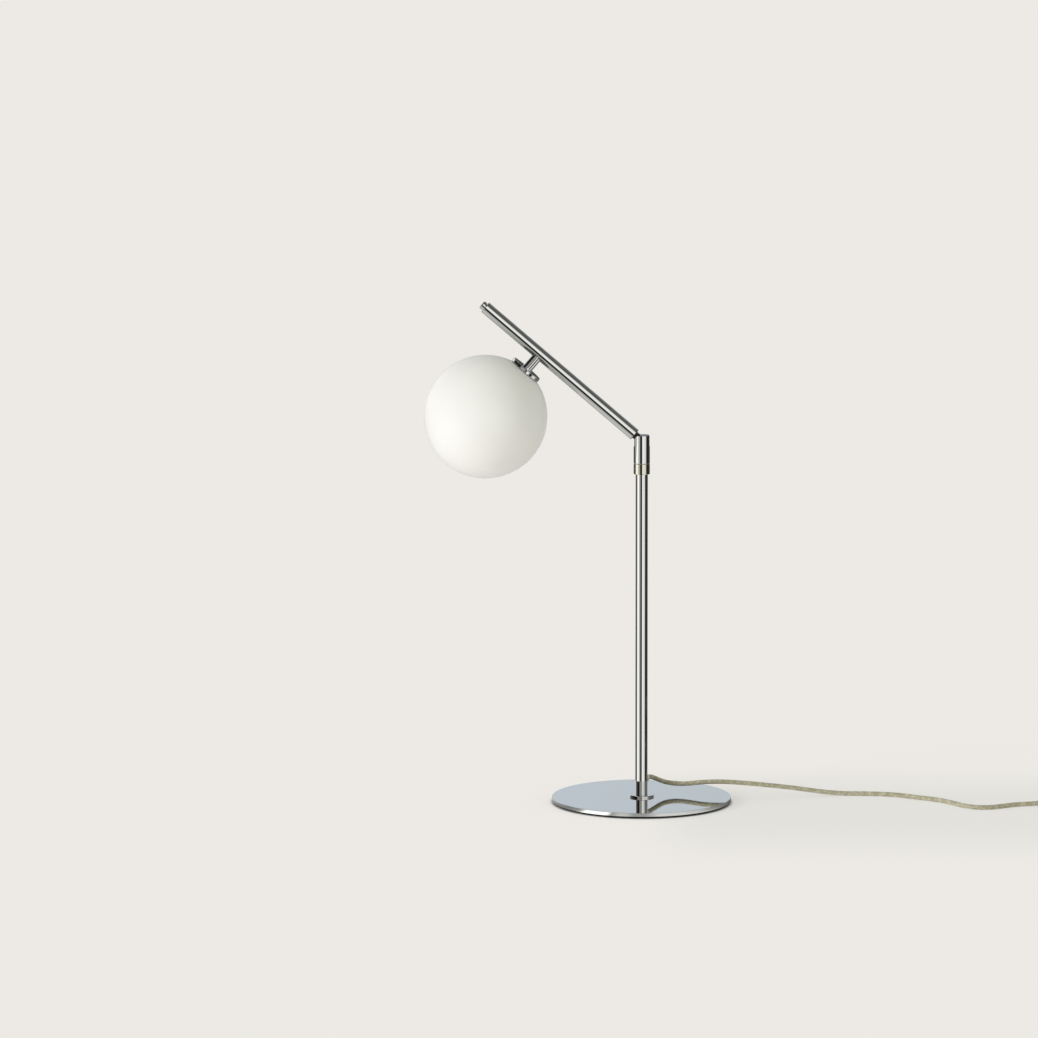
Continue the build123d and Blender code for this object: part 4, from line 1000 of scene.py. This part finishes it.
@dataclass
class InlineSwitch(Assembly):
    """Switch on the cord: domed cover over a tray, and a rocker in its window."""

    axes: Axes = Axes((455.0, -18.0, 0.0))
    length: float = 62.0
    width: float = 24.0
    height: float = 16.0
    corner: float = 9.0
    wall: float = 2.0
    parting: float = 6.5
    seam: float = 0.2
    top_round: float = 3.0
    top_flat: float = 4.2
    window: tuple[float, float] = (20.0, 11.4)
    window_corner: float = 0.5
    window_lip: float = 0.35
    rocker_at: Point = (0.0, 0.0, 12.0)
    rocker_width: float = 10.6
    cheek: float = 0.4
    axle_radius: float = 1.5
    axle_out: float = 1.6
    rest_tilt: float = 8.0

    def inset(self, by: float) -> np.ndarray:
        """The switch's outline in plan, moved inwards."""
        return box_outline(self.length - 2 * by, self.width - 2 * by, self.corner - by)

    def cover(self) -> Surface:
        """Shell whose section goes round from the window over the dome to the parting line."""
        top = self.height
        rows = []
        for deep, high in ((0.0, top - self.wall),
                           *((deep, top - by) for by, deep in roll(self.window_lip, 4))):
            sides = (side + 2 * deep for side in self.window)
            rows.append((box_outline(*sides, self.window_corner + deep), high))
        rows += [(self.inset(by), high) for by, high in (
            (self.top_flat, top),
            *((by, top - deep) for by, deep in roll(self.top_round, 9)),
            (0.0, self.parting + 2.5 * self.seam), (0.0, self.parting + self.seam),
            (self.seam, self.parting), (self.wall, self.parting), (self.wall, top - self.wall))]
        return skin(stack(rows), looped=True)

    def rocker(self) -> Surface:
        """Two shallow wings, drawn in side view and carried across with rounded cheeks.

        Over a cheek the side view is shrunk by a third of the roll's inset.
        """
        outline = eased([(-9.2, 3.9), (0, 2.9), (9.2, 3.9), (8.7, 0.8), (2.6, -2.2), (-2.6, -2.2),
                         (-8.7, 0.8)], [0.5, 9.0, 0.5, 0.6, 0.6, 0.6, 0.6], closed=True, steps=9)
        half = self.rocker_width / 2
        middle = np.array((0.0, 1.0))
        flat = np.tile(middle, (len(outline), 1))
        cheek = [(flat, -half)]
        cheek += [(middle + (outline - middle) * (1 - by / 3), deep - half)
                  for by, deep in roll(self.cheek, 5)]
        rows = cheek + [(row, -at) for row, at in reversed(cheek)]
        return skin(stack(rows)[..., [0, 2, 1]]).on(leaning(self.rocker_at, -self.rest_tilt))

    def axles(self) -> Surface:
        """The rocker's two stub axles, one bar across it."""
        end, radius = self.rocker_width / 2 + self.axle_out, self.axle_radius
        bar = turned([(0, -end), (radius, -end), (radius, end), (0, end)], 0.2, 32)
        return bar.on(Axes(self.rocker_at, z_axis=(0.0, 1.0, 0.0)))

    def build(self) -> list[str]:
        """Make the switch; returns the names of its pieces, for the cord."""
        cover = self.make("switch_shell", self.cover(), SWITCH_BLACK, "switch_cover")
        rocker = self.make("rocker", self.rocker() + self.axles(), ROCKER_BLACK,
                           "switch_rocker", body=Body.ROCKER)
        kept = {SWITCH_BLACK: ("switch_base", "switch_clamps"),
                BRASS: ("switch_terminals", "switch_contacts"), ZINC: ("switch_screws",)}
        for finish, names in kept.items():
            self.keep(finish, *names)
        return [cover, rocker, *(name for names in kept.values() for name in names)]


@dataclass
class Plug(Assembly):
    """Flat two-pin plug at the cord's end, drawn from the relief's end towards the pins."""

    axes: Axes = Axes((490.0, 55.2, 6.85), (0.0, 1.0, 0.0), (-1.0, 0.0, 0.0))
    relief: float = 25.0
    ribs: int = 5
    body_length: float = 37.0
    grip: float = 14.0
    back_across: float = 0.46
    back_through: float = 0.8
    edge: float = 0.7
    wide: float = 35.3
    flat: float = 26.1
    high: float = 13.7
    pin_spacing: float = 18.6
    pin_lean: float = 1.66

    def outline(self, across: float, through: float, by: float) -> np.ndarray:
        """The plug's long hexagon, scaled and then moved inwards."""
        wide, flat = self.wide / 2 * across - by, self.flat / 2 * across - by * 0.4
        half = self.high / 2 * through - by
        corners = [(-wide, 0), (-flat, -half), (flat, -half), (wide, 0), (flat, half),
                   (-flat, half)]
        return eased(corners, 1.1 * across, closed=True, steps=7)

    def body_shape(self) -> Surface:
        """Hexagon that widens from a small back to the grip, its ends rounded over."""
        back, face = self.relief, self.relief + self.body_length
        across, through, ends = self.back_across, self.back_through, roll(self.edge, 5)
        rows = [(self.outline(across, through, by), back + deep) for by, deep in ends]
        rows += [(self.outline(across + (1 - across) * share, through + (1 - through) * share,
                               0), back + share * (self.body_length - self.grip))
                 for share in (0.1, 0.5, 0.93, 1.0)]
        rows += [(self.outline(1, 1, by), face - deep) for by, deep in reversed(ends)]
        point = np.zeros_like(rows[0][0])
        return skin(stack([(point, back), *rows, (point, face)]))

    def strain_relief(self) -> Surface:
        """Tapered sleeve with grooves; outside them its radius is back + growth z / length."""
        hole, tip, inside = 2.25, 3.3, self.relief + 1.0
        back, growth, pitch, groove = 3.25, 1.65, 4.0, 1.6
        corners, radii = [(hole, 0.0), (tip, 0.0)], [0.3, 0.4]
        for rib in range(self.ribs):
            deep, low = 3.0 + 0.25 * rib, pitch * (rib + 1)
            high = low + groove
            corners += [(back + growth * low / self.relief, low), (deep, low), (deep, high),
                        (back + growth * high / self.relief, high)]
            radii += [0.2, 0.15, 0.15, 0.2]
        corners += [(back + growth, inside), (hole, inside)]
        return turned(corners, radii + [0, 0], 40, ring=True, steps=4)

    def on_pins(self, corners: list, radii: list, ring: bool) -> Surface:
        """A turned piece on both leaning pins.

        Args:
            corners: its profile, heights counted from the plug's face.
            radii: the corner radii.
            ring: the profile closes on itself.

        Returns:
            The mesh of both.
        """
        shape = turned(corners, radii, 40, ring, steps=7)
        left, right = (shape.on(leaning((side * self.pin_spacing / 2, 0.0,
                                         self.relief + self.body_length),
                                        -side * self.pin_lean)) for side in (-1, 1))
        return left + right

    def build(self) -> list[str]:
        """Make the plug; returns the names of its pieces, for the cord."""
        pins = self.on_pins([(0, -8), (1.5, -8), (1.5, 10), (2, 10), (2, 19), (0, 19)],
                            [0, 0.2, 0.1, 0.1, 1.4, 0], False)
        sleeves = self.on_pins([(1.5, 0.3), (1.9, 0.3), (1.9, 10), (1.5, 10)],
                               [0.05, 0.15, 0.1, 0.05], True)
        return [self.make("plug", self.body_shape() + self.strain_relief(), SWITCH_BLACK,
                          "plug_body"),
                self.make("pins", pins, NICKEL, "plug_pins"),
                self.make("pin_sleeves", sleeves, SLEEVE_BLACK, "plug_pin_sleeves")]


# ---------------------------------------------------------------- studio
@dataclass
class Studio:
    """Camera, floor, key light and the panels that the polished metal reflects.

    A panel's stops give its azimuth in degrees, 0 towards the camera and + to its right, and
    its brightness as a grey or a colour.  The bands of panels lie one above the other.
    """

    camera_at: Point = (-0.1195, -4.8427, 0.9451)
    camera_pitch: float = 82.1795
    camera_roll: float = -0.12
    lens: float = 174.23
    sensor: float = 36.0
    backdrop: Color = (0.847, 0.823, 0.783)
    fill: Color = (0.613, 0.612, 0.568)
    key_strength: float = 1.45
    key_color: Color = (0.99, 0.99, 1.04)
    key_azimuth: float = -56.0
    key_elevation: float = 12.0
    key_spread: float = 24.0
    # the grey panels' colour at brightness 1
    tint: Color = (1.0, 1.003, 0.945)
    # below the horizon, down to low
    belt: Stops = ((-180, .08), (-125, .1), (-115, .16), (-107, .22), (-99, .34), (-92, .81),
                   (-85, 1.53), (-74, 1.97), (-60, 1.38), (-51, .76), (-40, .79), (-31, .47),
                   (-20, 0), (-1, 0), (2, .44), (8, 1.41), (18, 1.39), (28, 1.13), (48, 1.25),
                   (58, .64), (69, 0), (80, 0), (95, .07), (110, .04), (125, 0), (140, .25),
                   (160, .81), (180, 1.55))
    # from the horizon up to high, in front and at the sides
    upper: Stops = ((-138, 1.15), (-120, .35), (-97, .12), (-60, .01), (-44, .01), (-34, .45),
                    (-20, .5), (-5, .35), (2, .44), (8, 1.41), (18, 1.39), (28, 1.13), (48, 1.25),
                    (58, .64), (69, .3), (95, .2), (125, .3))
    # behind: the room's wall, and a dark gap under it at the horizon
    wall: Stops = ((-180, (.68, .746, .807)), (-172, (.68, .746, .807)), (-160, 1.15),
                   (150, (.647, .712, .746)), (177, (.647, .712, .746)),
                   (179.8, (.68, .746, .807)))
    gap: Stops = ((-180, .08), (-165, .08), (-155, 1), (145, .08), (180, .08))
    # overhead
    high: Stops = ((-180, .16), (-140, .14), (-124, .02), (-92, .02), (-73, .05), (-52, .01),
                   (-40, .2), (-20, .25), (2, .14), (54, .15), (74, .12), (110, .2), (180, .16))
    # well below the horizon
    low: Stops = ((-180, .6), (-140, .5), (-100, .8), (-70, .83), (-44, .65), (-27, .62),
                  (-17, .03), (2, .03), (12, .5), (21, .35), (28, .02), (39, .02), (46, .8),
                  (72, 1.1), (86, .65), (97, .2), (115, .2), (145, .2), (180, .6))
    # elevations in degrees between which each band takes over
    gap_edge: tuple[float, float] = (-3, -1)
    upper_edge: tuple[float, float] = (4, 9)
    high_edge: tuple[float, float] = (24, 36)
    low_edge: tuple[float, float] = (-14, -26)
    floor_edge: tuple[float, float] = (-44, -54)
    floor_half: float = 30.0
    floor_albedo: float = 0.6
    # painted shade: the soft darker area of the floor right of the base, its tone, and the edges
    # in metres it eases over
    painted_shade_tone: Color = (0.905, 0.92, 0.92)
    painted_shade_x: tuple = ((-0.02, 0.07), (1.0, 0.5))
    painted_shade_y: tuple = ((-0.34, -0.09), (0.2, 0.0))
    # the floor glows outside this radius, and shows in metal within this distance; no glow under
    # the base's edge adds painted shade there to the floor's own shading
    open_from: tuple[float, float] = (0.0865, 0.0905)
    near: tuple[float, float] = (0.03, 0.045)
    # painted reflection: how bright the floor next to the base shows in its rim, by azimuth
    # round the lamp, with a painted glint at the front left and painted shade at the sides
    rim: Stops = ((-180, .6), (-100, .55), (-80, .4), (-66, .33), (-54, .42), (-50, .75),
                  (-46, 1.9), (-28, 1.9), (-24, .5), (-18, .85), (-13, .85), (-7, .5), (1, .5),
                  (7, .75), (12, 1), (30, 1), (45, .85), (58, .5), (70, .3), (90, .15), (120, .3),
                  (180, .6))

    def camera(self) -> None:
        """Put the camera where the photograph was taken from."""
        data = bpy.data.cameras.new("camera")
        data.lens, data.sensor_width = self.lens, self.sensor
        camera = bpy.data.objects.new("camera", data)
        camera.location = self.camera_at
        camera.rotation_mode = "ZYX"
        camera.rotation_euler = (math.radians(self.camera_pitch), 0.0,
                                 math.radians(self.camera_roll))
        scene = bpy.context.scene
        scene.collection.objects.link(camera)
        scene.camera = camera
        scene.view_settings.view_transform = "Standard"

    def panels(self, graph: Graph, azimuth: Socket, stops: Stops) -> Socket:
        """The colour of a band of panels.

        Args:
            graph: the nodes of the world or the floor.
            azimuth: 0 to 1 for -180 to 180 degrees.
            stops: degrees and a grey value or a colour, in any order.

        Returns:
            The colour at that azimuth.
        """
        ramp = graph.add("ValToRGB", {0: azimuth})
        elements = ramp.color_ramp.elements
        while len(elements) < len(stops):
            elements.new(1.0)
        for element, (degrees, value) in zip(elements, sorted(stops, key=lambda stop: stop[0])):
            tone = value if isinstance(value, tuple) else value * np.array(self.tint)
            element.position = (degrees + 180) / 360
            element.color = (*(np.array(tone) / 2), 1.0)
        return graph.scaled(ramp.outputs[0], 2.0)

    def world(self) -> None:
        """Backdrop for the camera, panels for metal and glass, and an even fill for the rest."""
        world = bpy.data.worlds.new("studio")
        bpy.context.scene.world = world
        world.cycles.sampling_method = "NONE"
        graph = fresh_graph(world)
        way = graph.add("SeparateXYZ", {0: graph.add("TexCoord").outputs["Generated"]})
        x, y, z = way.outputs
        azimuth, height = graph.azimuth(x, y), graph.math("ARCSINE", z)
        seen = self.panels(graph, azimuth, self.belt)
        for stops, edge in ((self.upper + self.gap, self.gap_edge),
                            (self.upper + self.wall, self.upper_edge),
                            (self.high, self.high_edge), (self.low, self.low_edge)):
            seen = graph.mix(graph.ease(height, *np.radians(edge)), seen,
                             self.panels(graph, azimuth, stops))
        seen = graph.mix(graph.ease(height, *np.radians(self.floor_edge)), seen, self.backdrop)
        path = graph.add("LightPath").outputs
        shiny = graph.math("ADD", path["Is Glossy Ray"], path["Is Transmission Ray"], clamp=True)
        color = graph.mix(path["Is Camera Ray"], graph.mix(shiny, self.fill, seen), self.backdrop)
        light = graph.add("Background", {"Color": color, "Strength": 1.0})
        graph.add("OutputWorld", {"Surface": light})

    def key(self) -> None:
        """A broad soft key from the left, which the metal doesn't mirror."""
        data = bpy.data.lights.new("key", "SUN")
        data.energy, data.angle = self.key_strength, math.radians(self.key_spread)
        data.color = self.key_color
        key = bpy.data.objects.new("key", data)
        key.rotation_euler = (0.0, math.radians(90 - self.key_elevation),
                              math.radians(self.key_azimuth - 90))
        key.visible_glossy = False
        bpy.context.scene.collection.objects.link(key)

    def floor_material(self) -> bpy.types.Material:
        """Matt floor whose glow lifts it to the backdrop's tone, less the light that it takes.

        Metal sees it only from a few centimetres off, as bright as the base's rim shows, with a
        painted glint at the front left and painted shade at the sides in that reflection, and
        otherwise the panels below the horizon.  It has no glow under the base's edge, which adds
        painted shade there to the floor's own shading.
        """
        made = bpy.data.materials.new("floor")
        graph = fresh_graph(made)
        spot = graph.add("TexCoord").outputs["Object"]
        radius = graph.add("VectorMath", {0: spot}, operation="LENGTH").outputs[1]
        x, y, _ = graph.add("SeparateXYZ", {0: spot}).outputs
        # painted shade: a soft darker area of the floor right of the base, set by a mask of
        # position
        left, right, front, back = (graph.ease(value, *edge) for value, edges in (
            (x, self.painted_shade_x), (y, self.painted_shade_y)) for edge in edges)
        painted_shade_mask = graph.times(graph.times(left, right), graph.times(front, back))
        lit = self.key_strength * math.sin(math.radians(self.key_elevation)) / math.pi
        painted_shade_tone, albedo = np.array(self.painted_shade_tone), np.full(3, self.floor_albedo)
        glow = np.array(self.backdrop) - albedo * (np.array(self.fill) + lit)
        matt = graph.add("BsdfDiffuse", {"Color": graph.mix(painted_shade_mask, albedo, albedo * painted_shade_tone)})
        # painted shade under the base's edge: no glow there, only the floor's own matt shading
        is_open = graph.ease(radius, *self.open_from)
        shine = graph.add("Emission", {"Color": graph.mix(painted_shade_mask, glow, glow * painted_shade_tone),
                                       "Strength": is_open})
        whole = graph.add("AddShader", {0: matt, 1: shine})
        # painted reflection for the base's rim: a glint and shade by azimuth, seen only by metal
        rim = graph.add("Emission", {"Color": self.panels(graph, graph.azimuth(x, y), self.rim),
                                     "Strength": is_open})
        path = graph.add("LightPath").outputs
        mirrored = graph.add("MixShader", {0: graph.ease(path["Ray Length"], *self.near),
                                           1: rim, 2: graph.add("BsdfTransparent")})
        mixed = graph.add("MixShader", {0: path["Is Glossy Ray"], 1: whole, 2: mirrored})
        graph.add("OutputMaterial", {"Surface": mixed})
        return made

    def floor(self) -> None:
        """Plain pale floor that takes the lamp's shadow, with painted shade in a soft area on the
        right.
        """
        half = self.floor_half
        mesh = bpy.data.meshes.new("floor")
        mesh.from_pydata([(-half, -half, 0), (half, -half, 0), (half, half, 0), (-half, half, 0)],
                         [], [(0, 1, 2, 3)])
        mesh.materials.append(self.floor_material())
        floor = bpy.data.objects.new("floor", mesh)
        bpy.context.scene.collection.objects.link(floor)

    def build(self) -> None:
        """Set up the whole studio."""
        self.camera()
        self.world()
        self.key()
        self.floor()


def main() -> None:
    """Build the studio, the cords and then every other part of the lamp."""
    logging.basicConfig(level=logging.INFO, format="%(name)s: %(message)s")
    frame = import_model()
    nodes = frame["nodes"]
    Studio().build()
    switch = InlineSwitch(nodes).build()
    plug = Plug(nodes).build()
    Cords(nodes).build(switch, plug)
    for assembly in (Stand, Elbow, Arm, GlobeHead):
        assembly(nodes).build()


if __name__ == "__main__":
    main()
